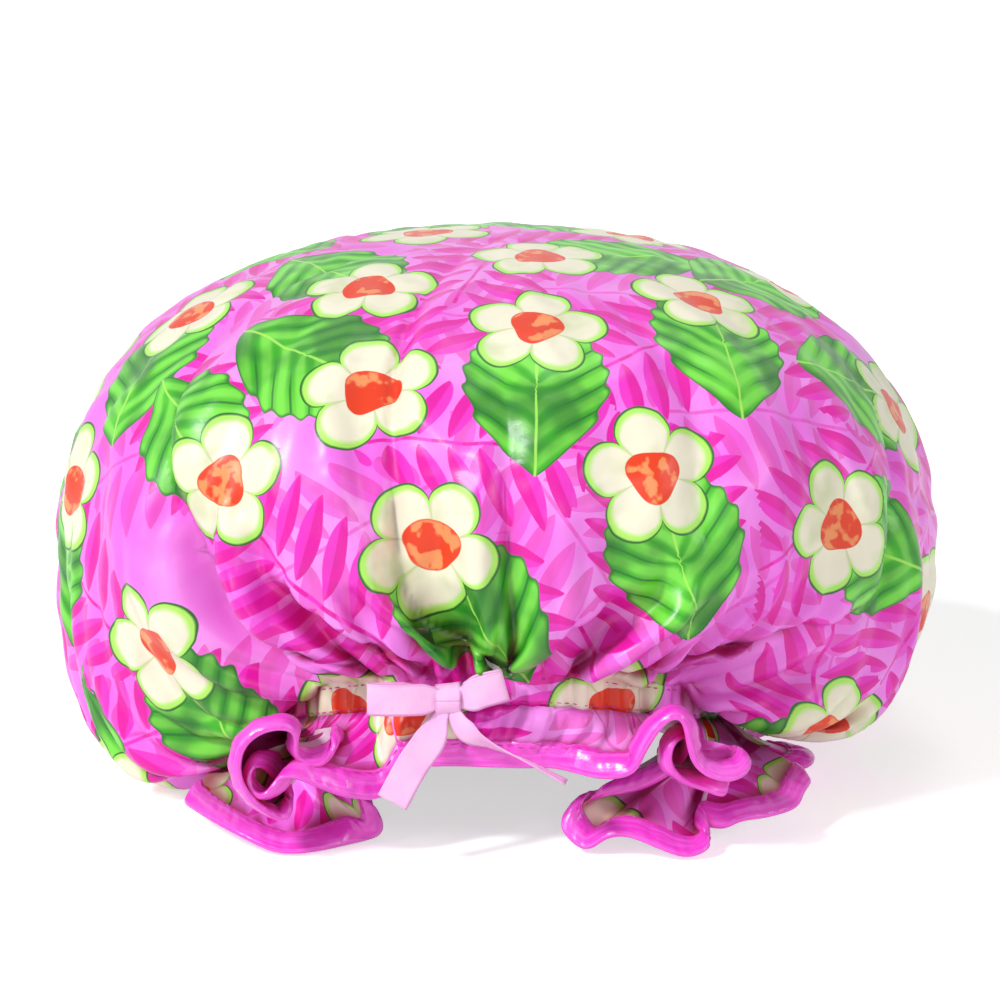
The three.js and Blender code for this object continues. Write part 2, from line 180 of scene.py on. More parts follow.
class CapSettings(bpy.types.PropertyGroup):
    """All the settings of the shower cap"""

    crown: PointerProperty(type=CrownSettings)
    frill: PointerProperty(type=FrillSettings)
    ribbon: PointerProperty(type=RibbonSettings)
    colours: PointerProperty(type=ColourSettings)
    stage: PointerProperty(type=StageSettings)


def settings():
    return bpy.context.scene.shower_cap


# The smooth shape of the cap; angles go round it from the front, towards +X


def lerp(first, second, share):
    return first + (second - first) * share


def smoothstep(value, low, high):
    share = np.clip((value - low) / (high - low), 0, 1)
    return share * share * (3 - 2 * share)


def outward(angle):
    return np.stack([np.sin(angle), -np.cos(angle), np.zeros_like(angle)], -1)


def sideways(angle):
    return np.stack([np.cos(angle), np.sin(angle), np.zeros_like(angle)], -1)


def unit(vectors):
    return vectors / np.maximum(np.linalg.norm(vectors, axis=-1, keepdims=True), 1e-12)


def looped(points):
    """A line of points with its first one again at the end."""
    return np.concatenate([points, points[:1]])


def run_along(points):
    """The length along a path, up to each of its points."""
    return np.concatenate([[0], np.linalg.norm(np.diff(points, axis=0), axis=1).cumsum()])


def run_down(rows):
    """The length down each column of rows of points."""
    steps = np.linalg.norm(np.diff(rows, axis=0), axis=2)
    return np.concatenate([np.zeros((1, rows.shape[1])), steps.cumsum(0)])


def run_round(line):
    """The length round a closed line, up to each of its points."""
    return np.linalg.norm(line - np.roll(line, 1, 0), axis=1).cumsum()


def read_off(at, run, values):
    """A path's values at some lengths along it."""
    return np.stack([np.interp(at, run, value) for value in values.T], -1)


def read_off_columns(at, run, rows):
    """The same for each column of rows of values."""
    return np.stack([read_off(at, run[:, column], rows[:, column]) for column in range(rows.shape[1])], 1)


def opening(angle):
    """The gathered line at half the height of the casing, where the satin lies."""
    depth = settings().frill.casing_depth
    half_width = (tape_high.x - tape_low.x) / 2 + depth
    half_depth = (tape_high.y - tape_low.y) / 2 + depth
    rise = ((1 + np.cos(angle)) / 2) ** settings().frill.rise
    return np.stack([
        half_width * np.sin(angle),
        (tape_low.y + tape_high.y) / 2 - half_depth * np.cos(angle),
        lerp(tape_low.z + HALF_CASING, tape_high.z - HALF_CASING, rise),
    ], -1)


def front_share(angle):
    """1 over the raised front of the crown, 0 over its sagging sides and back."""
    turn = np.abs(angle / TURN - np.round(angle / TURN))
    return 1 - smoothstep(turn, 0.11, 0.2)


def meridians(angle, samples=160):
    """Lines on the crown from its top to the casing: places, and heights from 1 at the top to 0."""
    crown = settings().crown
    satin_thickness = 1.1 * MM
    front = front_share(angle)
    reach = np.where(np.cos(angle) > 0, crown.front_reach, crown.back_reach)
    half_width = (crown_high.x - crown_low.x) / 2 - satin_thickness
    widest = np.stack([
        half_width * np.sin(angle),
        crown.middle - reach * np.cos(angle),
        lerp(crown.widest_height, crown.front_widest_height, front),
    ], -1)
    top = np.array([0, crown.middle, crown_high.z])
    quarter = np.linspace(0, math.pi / 2, samples)[:, None]
    bend = 2 / crown.fullness
    across, up = np.sin(quarter) ** bend, np.maximum(np.cos(quarter), 0) ** bend
    upper = np.empty((samples, len(angle), 3))
    upper[..., :2] = lerp(top[:2], widest[None, :, :2], across[..., None])
    upper[..., 2] = lerp(widest[:, 2], top[2], up)
    end = opening(angle) - DOWN * HALF_CASING
    hang = end + outward(angle) * lerp(crown.underside_reach, crown.front_overhang, front)[:, None]
    hang[:, 2] = lerp(crown.underside + crown.lean * np.sin(angle), end[:, 2] + crown.front_drop, front)
    under = widest.copy()
    under[:, 2] = lerp(widest[:, 2], hang[:, 2], 0.7)
    share = np.linspace(0, 1, samples)[1:, None, None]
    lower = (
        (1 - share) ** 3 * widest + 3 * share * (1 - share) ** 2 * under
        + 3 * share**2 * (1 - share) * hang + share**3 * end
    )
    stops, levels = (0, 0.24, 0.46, 0.66, 0.84, 1), (1, 0.9, 0.8, 0.7, 0.6, 0.5)
    height = np.concatenate([np.interp(np.linspace(0, 1, samples), stops, levels), (1 - share[:, 0, 0]) / 2])
    points = np.concatenate([upper, lower])
    return np.concatenate([points, np.broadcast_to(height[:, None, None], (*points.shape[:2], 1))], 2)


def crown_points(angle, share):
    """Places and heights on the smooth crown; share is 0 at its top and 1 at the casing, along the cloth."""
    steps, levels = 720, 240
    lines = meridians(np.linspace(0, TURN, steps, endpoint=False))
    run = run_down(lines[..., :3])
    even = np.linspace(0, 1, levels)
    table = read_off_columns(even, run / run[-1], lines)
    at = (angle % TURN) / TURN * steps
    left = np.floor(at).astype(int) % steps
    part = (at - np.floor(at))[:, None]
    row = np.clip(share, 0, 1) * (levels - 1)
    low = np.minimum(np.floor(row).astype(int), levels - 2)
    rest = (row - low)[:, None]
    right = (left + 1) % steps
    made = lerp(lerp(table[low, left], table[low, right], part),
                lerp(table[low + 1, left], table[low + 1, right], part), rest)
    return made[:, :3], made[:, 3]


# Main folds: turns at the opening, half way and at the far end, then depth in millimetres, and reach
# and width as shares
FOLDS = [
    (0.004, -0.012, -0.058, 8.6, 0.9, 0.85), (0.012, 0.006, 0.004, 5.9, 0.64, 0.65),
    (-0.14, -0.07, -0.16, 9, 0.72, 1), (-0.08, -0.06, -0.085, 5.9, 0.55, 0.7),
    (0.118, 0.155, 0.172, 8.6, 0.6, 0.9), (0.104, 0.088, 0.097, 5, 0.55, 0.75),
    (0.044, 0.038, 0.057, 5.4, 0.54, 0.7), (-0.036, -0.03, -0.058, 4.5, 0.58, 0.65),
    (-0.17, -0.145, -0.155, 5.4, 0.55, 0.9), (-0.205, -0.21, -0.22, 7.2, 0.6, 0.9),
    (-0.285, -0.285, -0.28, 7.2, 0.6, 0.9), (-0.325, -0.335, -0.33, 8.1, 0.75, 0.9),
    (-0.39, -0.4, -0.41, 8.1, 0.75, 1), (-0.46, -0.46, -0.455, 7.2, 0.65, 0.9),
    (0.46, 0.46, 0.46, 8.1, 0.75, 1), (0.41, 0.405, 0.4, 7.2, 0.7, 0.9),
    (0.35, 0.35, 0.355, 8.1, 0.75, 1), (0.29, 0.285, 0.28, 7.2, 0.65, 0.9),
    (0.215, 0.215, 0.22, 7.2, 0.55, 0.9),
]
FRONT_FOLDS = 8

# Crisp creases at the front, in the same terms
CREASES = [
    (0.006, -0.034, -0.06, 8, 1.05, 0.5), (0.012, 0.006, 0.004, 7.5, 0.8, 0.42),
    (-0.07, -0.1, -0.2, 6.5, 1, 0.6), (-0.045, -0.07, -0.09, 5.5, 0.62, 0.45),
    (0.05, 0.16, 0.21, 7, 0.78, 0.5), (0.104, 0.088, 0.097, 4, 0.6, 0.4),
    (0.036, 0.032, 0.05, 4.5, 0.5, 0.4), (-0.022, -0.03, -0.05, 4.5, 0.5, 0.35),
]

# Finer folds that run up from the gathers, in the same terms
FINE_FOLDS = [
    (-0.112, -0.1, -0.118, 3, 0.5, 0.45), (-0.06, -0.048, -0.07, 2.6, 0.46, 0.4),
    (-0.018, -0.012, -0.02, 3, 0.4, 0.4), (0.028, 0.022, 0.03, 3, 0.44, 0.4),
    (0.07, 0.062, 0.08, 2.8, 0.46, 0.45), (0.135, 0.12, 0.13, 2.8, 0.4, 0.45),
    (0.19, 0.18, 0.19, 2.6, 0.42, 0.45), (-0.19, -0.18, -0.19, 2.6, 0.45, 0.45),
    (0.0, -0.03, -0.075, 2.4, 0.95, 0.4), (0.02, 0.05, 0.09, 2.2, 0.8, 0.6),
    (-0.02, -0.085, -0.11, 2, 0.85, 0.55), (0.09, 0.13, 0.12, 2, 0.82, 0.6),
    (-0.24, -0.25, -0.25, 2.4, 0.5, 0.45), (0.25, 0.25, 0.245, 2.4, 0.5, 0.45),
    (0.32, 0.32, 0.315, 2.6, 0.55, 0.45), (0.38, 0.38, 0.375, 2.6, 0.55, 0.45),
    (0.435, 0.435, 0.43, 2.4, 0.6, 0.45), (0.495, 0.495, 0.49, 2.6, 0.6, 0.45),
    (-0.36, -0.365, -0.37, 2.6, 0.6, 0.45), (-0.425, -0.43, -0.43, 2.4, 0.55, 0.45),
    (-0.3, -0.305, -0.31, 2.4, 0.5, 0.45),
]


def fold_offsets(angle, height, radius, table, crisp=False):
    """How far the folds of a table push each point: valleys between low shoulders, or crisp creases."""
    fold_width = 11 * MM
    offset = np.zeros_like(angle)
    for near, middle, far, depth, reach, share in table:
        along = np.clip(height / reach, 0, 1)
        turn = angle / TURN - lerp(lerp(near, middle, along), lerp(middle, far, along), along)
        apart = np.abs(turn - np.round(turn)) * TURN * radius / (fold_width * share)
        soft = np.exp(-(apart**2)) - 0.3 * np.exp(-((apart - 1.9) ** 2))
        valley = np.exp(-1.5 * apart) if crisp else soft
        offset -= depth * MM * np.sin(math.pi * along**0.8) * valley
    return offset


def gather_offsets(angle, height):
    """Gathers that run up from the casing and fade towards the widest line."""
    warp = angle + 0.012 * np.sin(3 * angle + 1) + 0.008 * np.sin(7 * angle + 2)
    depth = np.interp(height, (0, 0.15, 0.32, 0.5, 0.7, 0.9), (0.7, 2.9, 1.9, 1.1, 0.5, 0))
    fine_depth = np.interp(height, (0, 0.05, 0.15, 0.3), (0.5, 0.8, 0.5, 0))
    fine = np.cos(80 * angle + 2 * np.sin(5 * angle)) * fine_depth
    return (np.cos(32 * warp) * depth + fine) * MM


def casing_gathers(angle):
    """The gathers at the casing, as a column to multiply directions by."""
    return gather_offsets(angle, np.zeros_like(angle))[:, None]


# Meshes and their print


def placed(name, data):
    """A new object in the scene."""
    made = bpy.data.objects.new(name, data)
    bpy.context.scene.collection.objects.link(made)
    return made


def smooth_object(name, vertices, faces, materials):
    mesh = bpy.data.meshes.new(name)
    mesh.from_pydata([tuple(v) for v in vertices], [], [tuple(int(i) for i in f) for f in faces])
    for material in materials:
        mesh.materials.append(material)
    mesh.polygons.foreach_set("use_smooth", [True] * len(mesh.polygons))
    return placed(name, mesh)


def band_faces(rows, columns, closed=True, start=0):
    """Quads between rows of points; each row closes on itself, or ends at its last point."""
    gaps = columns if closed else columns - 1
    row, column = np.meshgrid(np.arange(rows - 1), np.arange(gaps), indexing="ij")
    following = (column + 1) % columns
    quads = np.stack([row * columns + column, (row + 1) * columns + column,
                      (row + 1) * columns + following, row * columns + following], -1)
    return quads.reshape(-1, 4) + start


def vertex_array(mesh):
    points = np.empty(len(mesh.vertices) * 3)
    mesh.vertices.foreach_get("co", points)
    return points.reshape(-1, 3)


def corner_array(mesh):
    """The index of the point at each corner of a mesh's faces."""
    corners = np.empty(len(mesh.loops), np.int32)
    mesh.loops.foreach_get("vertex_index", corners)
    return corners


def face_array(mesh):
    """The corners of a mesh of quads."""
    return corner_array(mesh).reshape(-1, 4)


def kept_key(kind):
    return "vector" if kind == "FLOAT_VECTOR" else "value"


def keep(mesh, name, values):
    """Keeps a number or a place for each point of a mesh."""
    kind = "FLOAT" if values.ndim == 1 else "FLOAT_VECTOR"
    mesh.attributes.new(name, kind, "POINT").data.foreach_set(kept_key(kind), values.ravel())


def kept(mesh, name):
    """What was kept for each point of a mesh."""
    kind = mesh.attributes[name].data_type
    values = np.empty((len(mesh.vertices), 3) if kind == "FLOAT_VECTOR" else len(mesh.vertices))
    mesh.attributes[name].data.foreach_get(kept_key(kind), values.ravel())
    return values


def lay_flat(mesh, layer, flat):
    """Gives the corners of a mesh their flat places on a layer of its print."""
    mesh.uv_layers.new(name=layer).data.foreach_set("uv", flat.astype(np.float32).ravel())


def face_normals(corners):
    """Normals of quads, as long as twice their areas."""
    return np.cross(corners[:, 2] - corners[:, 0], corners[:, 3] - corners[:, 1])


def vertex_normals(points, faces):
    """Unit normals at the points of a mesh of quads."""
    normal = face_normals(points[faces])
    total = np.zeros_like(points)
    for corner in range(4):
        np.add.at(total, faces[:, corner], normal)
    return unit(total)


def level_and_upright(normals):
    """Two directions in the cloth, at right angles to its normals and to each other."""
    level = unit(np.cross(normals, np.array([0.31, 0.17, 0.93])))
    return level, np.cross(normals, level)


def spread(values, faces):
    """Each point's value, evened out with those of its neighbours."""
    shape = (-1,) + (1,) * (values.ndim - 1)
    total, count = np.zeros_like(values), np.zeros(len(values))
    middles = values[faces].mean(1)
    for corner in range(4):
        np.add.at(total, faces[:, corner], middles)
        np.add.at(count, faces[:, corner], 1)
    return total / np.maximum(count, 1).reshape(shape)


def broad_normals(points, faces, rounds=14):
    """Unit normals of the cloth as a whole, without its finer folds."""
    facing = vertex_normals(points, faces)
    for _ in range(rounds):
        facing = spread(facing, faces)
    return unit(facing)


def applied(piece):
    """Gives a piece its modifiers' result as its own mesh."""
    evaluated = piece.evaluated_get(bpy.context.evaluated_depsgraph_get())
    mesh = bpy.data.meshes.new_from_object(evaluated)
    piece.modifiers.clear()
    piece.data = mesh
    return piece


def subdivided(piece):
    modifier = piece.modifiers.new("subdivision", "SUBSURF")
    modifier.levels = modifier.render_levels = 1
    return applied(piece)


def thicken(piece, thickness, offset=-1):
    """Gives a sheet its thickness: inwards at -1, to both sides at 0."""
    shell = piece.modifiers.new("thickness", "SOLIDIFY")
    shell.thickness = thickness
    shell.offset = offset
    return shell


def crumple(piece, height):
    """Lets the cloth settle into natural wrinkles, as it has more length than room, most at the gathers."""
    crown = settings().crown
    steps, sewn_below = 24, 0.004
    pins = piece.vertex_groups.new(name="pins")
    spare = piece.vertex_groups.new(name="spare")
    for index, level in enumerate(height):
        pins.add([index], 1 if level < sewn_below else float(lerp(0.28, 0.4, level)), "REPLACE")
        spare.add([index], float(1 - smoothstep(level, 0.1, 0.75)), "REPLACE")
    modifier = piece.modifiers.new("cloth", "CLOTH")
    cloth = modifier.settings
    cloth.quality = 6
    cloth.mass = 0.1
    cloth.tension_stiffness = cloth.compression_stiffness = 8
    cloth.shear_stiffness = 3
    cloth.bending_model = "ANGULAR"
    cloth.bending_stiffness = crown.bending
    cloth.air_damping = 2
    cloth.vertex_group_mass = "pins"
    cloth.pin_stiffness = crown.hold
    cloth.vertex_group_shrink = "spare"
    cloth.shrink_min = -crown.spare_above
    cloth.shrink_max = -crown.spare_below
    cloth.effector_weights.gravity = 0
    modifier.collision_settings.use_collision = False
    scene = bpy.context.scene
    for step in range(steps):
        scene.frame_set(step + 1)
    applied(piece)
    scene.frame_set(1)


def sharpen(mesh):
    """Adds the finer folds, with a crisp line at the bottom of each, to cloth that has settled."""
    angle = np.arctan2(kept(mesh, "sine"), kept(mesh, "cosine"))
    height = kept(mesh, "height")
    points = vertex_array(mesh)
    radius = np.hypot(points[:, 0], points[:, 1] - settings().crown.middle)
    fine_depth, back_depth, back_width, lowest = 1.6, 0.6, 0.5, 0.6 * MM
    offset = fold_offsets(angle, height, radius, FINE_FOLDS) * fine_depth
    back_folds = FOLDS[FRONT_FOLDS:]
    back_creases = [(*fold[:3], fold[3] * back_depth, fold[4], fold[5] * back_width) for fold in back_folds]
    offset += fold_offsets(angle, height, radius, CREASES + back_creases, crisp=True)
    pull = np.sin(13 * angle + 1.3 * np.sin(5 * height)) + 0.7 * np.sin(21 * angle - 2 * height + 1)
    calm = 1 - 0.6 * np.abs(np.sin(angle)) ** 6
    offset += pull * calm * np.interp(height, (0, 0.15, 0.4, 0.7, 0.95), (0, 1.9, 1.8, 1.1, 0)) * MM
    gathers = np.interp(height, (0, 0.08, 0.25, 0.45, 0.65), (0.3, 2.5, 2.1, 0.8, 0)) * MM
    wander = 0.05 * np.sin(3 * angle + 5 * height) + 0.05 * np.sin(11 * angle + 2)
    offset += gathers * (2 * np.abs(np.cos(24 * (angle + wander))) - 1.2) * front_share(angle)
    offset += gathers * 0.8 * (2 * np.abs(np.cos(37 * (angle - wander * 0.6))) - 1.2)
    points += broad_normals(points, face_array(mesh)) * offset[:, None]
    points[:, 2] = np.maximum(points[:, 2], lowest)
    mesh.vertices.foreach_set("co", points.ravel())
    mesh.update()


def spread_places(points, count, first):
    """Indices of points that lie as far from each other as they can."""
    chosen = [first]
    nearest = np.linalg.norm(points - points[first], axis=1)
    while len(chosen) < count:
        chosen.append(int(nearest.argmax()))
        nearest = np.minimum(nearest, np.linalg.norm(points - points[chosen[-1]], axis=1))
    return chosen


def motif_frames(points, normals, places, turns):
    """The middle of each motif and the two directions in which it is drawn."""
    level, upright = level_and_upright(normals[places])
    along = level * np.cos(turns)[:, None] + upright * np.sin(turns)[:, None]
    return points[places], along, np.cross(normals[places], along)


def map_motifs(mesh, points, layer, frames):
    """Gives each face the flat coordinates, in millimetres, of the motif nearest to it."""
    batch = 8000
    turn_cost = 45 * MM
    centre, along, across = frames
    corners = points[face_array(mesh)]
    middles = corners.mean(1)
    facing = unit(face_normals(corners))
    motif_facing = np.cross(along, across)
    nearest = np.empty(len(corners), int)
    for begin in range(0, len(corners), batch):
        part = slice(begin, begin + batch)
        turned = 1 - facing[part] @ motif_facing.T
        apart = ((middles[part, None] - centre[None])**2).sum(-1)
        nearest[part] = (apart + (turn_cost * turned) ** 2).argmin(1)
    away = corners - centre[nearest][:, None]
    flat = np.stack([(away * way[nearest][:, None]).sum(-1) for way in (along, across)], -1)
    drawn = np.linalg.norm(flat, axis=-1, keepdims=True)
    flat *= np.linalg.norm(away, axis=-1, keepdims=True) / np.maximum(drawn, 1e-9)
    lay_flat(mesh, layer, flat / MM)


# Material nodes, written as sums


def sign(operation, swapped=False):
    """A method that joins a term and what it is worked on with by one node."""

    def method(self, *others):
        return self.node(operation, *((*others, self) if swapped else (self, *others)))

    return method


class Term:
    """A number in a material's nodes that is worked on with ordinary signs."""

    __add__ = __radd__ = sign("ADD")
    __mul__ = __rmul__ = sign("MULTIPLY")
    __sub__ = sign("SUBTRACT")
    __rsub__ = sign("SUBTRACT", swapped=True)
    __truediv__ = sign("DIVIDE")
    __pow__ = sign("POWER")
    __abs__ = sign("ABSOLUTE")
    sine = sign("SINE")
    cosine = sign("COSINE")
    root = sign("SQRT")
    least = sign("MINIMUM")
    most = sign("MAXIMUM")
    repeat = sign("FLOORED_MODULO")

    def __init__(self, tree, socket):
        self.tree, self.socket = tree, socket

    def node(self, operation, *values):
        made = self.tree.nodes.new("ShaderNodeMath")
        made.operation = operation
        for slot, value in zip(made.inputs, values):
            if isinstance(value, Term):
                self.tree.links.new(value.socket, slot)
            else:
                slot.default_value = value
        return Term(self.tree, made.outputs[0])

    def between(self, low, high):
        """0 below low, 1 above high and a smooth slope from one to the other."""
        made = self.tree.nodes.new("ShaderNodeMapRange")
        made.interpolation_type = "SMOOTHSTEP"
        self.tree.links.new(self.socket, made.inputs["Value"])
        made.inputs["From Min"].default_value = low
        made.inputs["From Max"].default_value = high
        return Term(self.tree, made.outputs["Result"])


def linear(value):
    """A screen colour as the shader's light value."""
    parts = [part / 12.92 if part <= 0.04045 else ((part + 0.055) / 1.055) ** 2.4 for part in value]
    return (*parts, 1)


def mixed(tree, share, first, second, blend="MIX"):
    """A colour between two others, or one tinted by the other."""
    made = tree.nodes.new("ShaderNodeMix")
    made.data_type = "RGBA"
    made.blend_type = blend
    for slot, value in ((made.inputs[0], share), (made.inputs[6], first), (made.inputs[7], second)):
        if isinstance(value, Term):
            tree.links.new(value.socket, slot)
        elif isinstance(value, bpy.types.NodeSocket):
            tree.links.new(value, slot)
        elif slot.type == "RGBA":
            slot.default_value = linear(value)
        else:
            slot.default_value = value
    return made.outputs[2]


def noise(tree, scale, detail=2.0, coordinates=None):
    """Noise from 0 to 1 in object space, in waves to the metre, or in the coordinates given."""
    if coordinates is None:
        coordinates = tree.nodes.new("ShaderNodeTexCoord").outputs["Object"]
    made = tree.nodes.new("ShaderNodeTexNoise")
    tree.links.new(coordinates, made.inputs["Vector"])
    made.inputs["Scale"].default_value = scale
    made.inputs["Detail"].default_value = detail
    return Term(tree, made.outputs["Fac"])


def flat_place(tree, layer):
    """The two flat coordinates of a print layer, in millimetres."""
    place = tree.nodes.new("ShaderNodeUVMap")
    place.uv_map = layer
    parts = tree.nodes.new("ShaderNodeSeparateXYZ")
    tree.links.new(place.outputs[0], parts.inputs[0])
    return Term(tree, parts.outputs["X"]), Term(tree, parts.outputs["Y"])


def new_material(name, roughness, **sockets):
    """A material, its nodes and its shader, with the shader's own values."""
    material = bpy.data.materials.new(name)
    material.use_nodes = True
    tree = material.node_tree
    shader = tree.nodes["Principled BSDF"]
    for key, value in {"Roughness": roughness, **sockets}.items():
        shader.inputs[key.replace("_", " ")].default_value = value
    return material, tree, shader


def paint(tree, shader, tone):
    tree.links.new(tone, shader.inputs["Base Color"])


def add_bump(tree, shader, height, strength, distance):
    bump = tree.nodes.new("ShaderNodeBump")
    bump.inputs["Strength"].default_value = strength
    bump.inputs["Distance"].default_value = distance
    tree.links.new(height.socket, bump.inputs["Height"])
    tree.links.new(bump.outputs[0], shader.inputs["Normal"])


def fold_shade(tree, name="fold"):
    """How far the cloth lies hidden in its folds, from 0 to 1, by which the materials paint shade into its
    colour.
    """
    place = tree.nodes.new("ShaderNodeAttribute")
    place.attribute_name = name
    return Term(tree, place.outputs["Fac"])


def sprig_mask(tree, layer):
    """Oval leaflets in pairs along a stem: where they are, and which half of each is lit."""
    x, y = flat_place(tree, layer)
    side = abs(y)
    base = x - side * 0.5
    reach = 26 * (1 - (base / 45) * (base / 45)).most(0.001).root()
    along = base.repeat(9.8) - 4.9
    share = ((side - 1.4) / (reach - 1)).most(0).least(1)
    half = 3.9 * (share * math.pi).sine().most(0) ** 0.7
    inside = (half - abs(along + share * share * 1.2)).between(0, 0.3) * (1 - abs(base).between(43.5, 44))
    stem = (1 - side.between(0.4, 0.8)) * (1 - abs(x).between(45, 45.5))
    return inside.most(stem), along.between(-0.4, 0.4)


def leaf_layer(tree, colours, layer, below):
    """A plain oval leaf with raised side veins, drawn over what is below."""
    x, y = flat_place(tree, layer)
    side = abs(y)
    share = (x / 64 + 0.5).most(0).least(1)
    half = 22.5 * (share * math.pi).sine() ** 0.66 * (1.2 - share * 0.4)
    wave = ((x + side * 0.9) * (TURN / 8.6)).sine()
    edge = half - side + wave * 0.8
    inside = edge.between(0, 0.35) * (1 - abs(x).between(31.6, 31.9))
    band = wave.between(-0.9, 0.9)
    tone = noise(tree, 48)
    green = mixed(tree, band, colours.leaf, colours.leaf_light)
    shade = (1 - edge.between(0.4, 1.6)).most((1 - wave.between(-1.0, -0.86)) * side.between(2, 14))
    green = mixed(tree, tone.between(0.42, 0.66) * 0.75, green, colours.leaf_dark)
    green = mixed(tree, tone.between(0.5, 0.3) * 0.5, green, colours.leaf_light)
    green = mixed(tree, shade * 0.85, green, colours.leaf_dark)
    rib = 1 - side.between(0.25, 0.75)
    green = mixed(tree, rib * 0.8, green, colours.petal_rim)
    return mixed(tree, inside, below, green)


def blossom_layer(tree, colours, below):
    """A blossom of five round petals with a lime rim, drawn over what is below."""
    x, y = flat_place(tree, "blossom")
    radius = (x * x + y * y).root()
    angle = y.node("ARCTAN2", y, x)
    petal = abs((angle * 2.5).cosine())
    wobble = noise(tree, 90)
    edge = 13.4 + 8.6 * petal ** 0.62 + wobble * 1.2 - radius
    rim = mixed(tree, edge.between(0.6, 1.3), colours.leaf_dark, colours.petal_rim)
    crease_shade = (1 - petal.between(0, 0.34)) * (1 - edge.between(2, 9)) + (1 - petal.between(0.0, 0.13))
    cream = mixed(tree, crease_shade.least(1) * 0.75, colours.petal, colours.petal_shade)
    glow = noise(tree, 70)
    cream = mixed(tree, glow.between(0.5, 0.75) * 0.5, cream, colours.petal_shade)
    body = mixed(tree, edge.between(1.8, 4.2), rim, cream)
    heart_edge = 7.4 + (angle * 3).sine() * 0.9 + wobble * 1.6 - radius
    patch = noise(tree, 160)
    heart = mixed(tree, patch.between(0.5, 0.58), colours.heart, colours.heart_light)
    heart = mixed(tree, heart_edge.between(0, 1.1), colours.heart, heart)
    body = mixed(tree, heart_edge.between(0, 0.3), body, heart)
    return mixed(tree, edge.between(0, 0.3), below, body)


# Layers of the print, from the lowest up: sprigs with their strength, then leaves
SPRIG_LAYERS = (("sprig_under", 0.55), ("sprig_over", 1))
LEAF_LAYERS = ("leaf_first", "leaf_second", "leaf_third")


def print_colour(tree, colours):
    """The whole print: ground, two layers of tone-on-tone sprigs, leaves and blossoms."""
    cloud = noise(tree, 22)
    made = mixed(tree, cloud.between(0.35, 0.75), colours.ground, colours.ground_light)
    for layer, strength in SPRIG_LAYERS:
        mask, half = sprig_mask(tree, layer)
        tone = mixed(tree, half, colours.sprig, colours.sprig_light)
        made = mixed(tree, mask * strength, made, tone)
    for layer in LEAF_LAYERS:
        made = leaf_layer(tree, colours, layer, made)
    return blossom_layer(tree, colours, made)


def weave_bump(tree, shader, scale, strength):
    """Fine threads and slight unevenness in a cloth."""
    fine = noise(tree, scale, 3)
    broad = noise(tree, scale / 12, 2)
    add_bump(tree, shader, fine * 0.35 + broad, strength, 0.4 * MM)


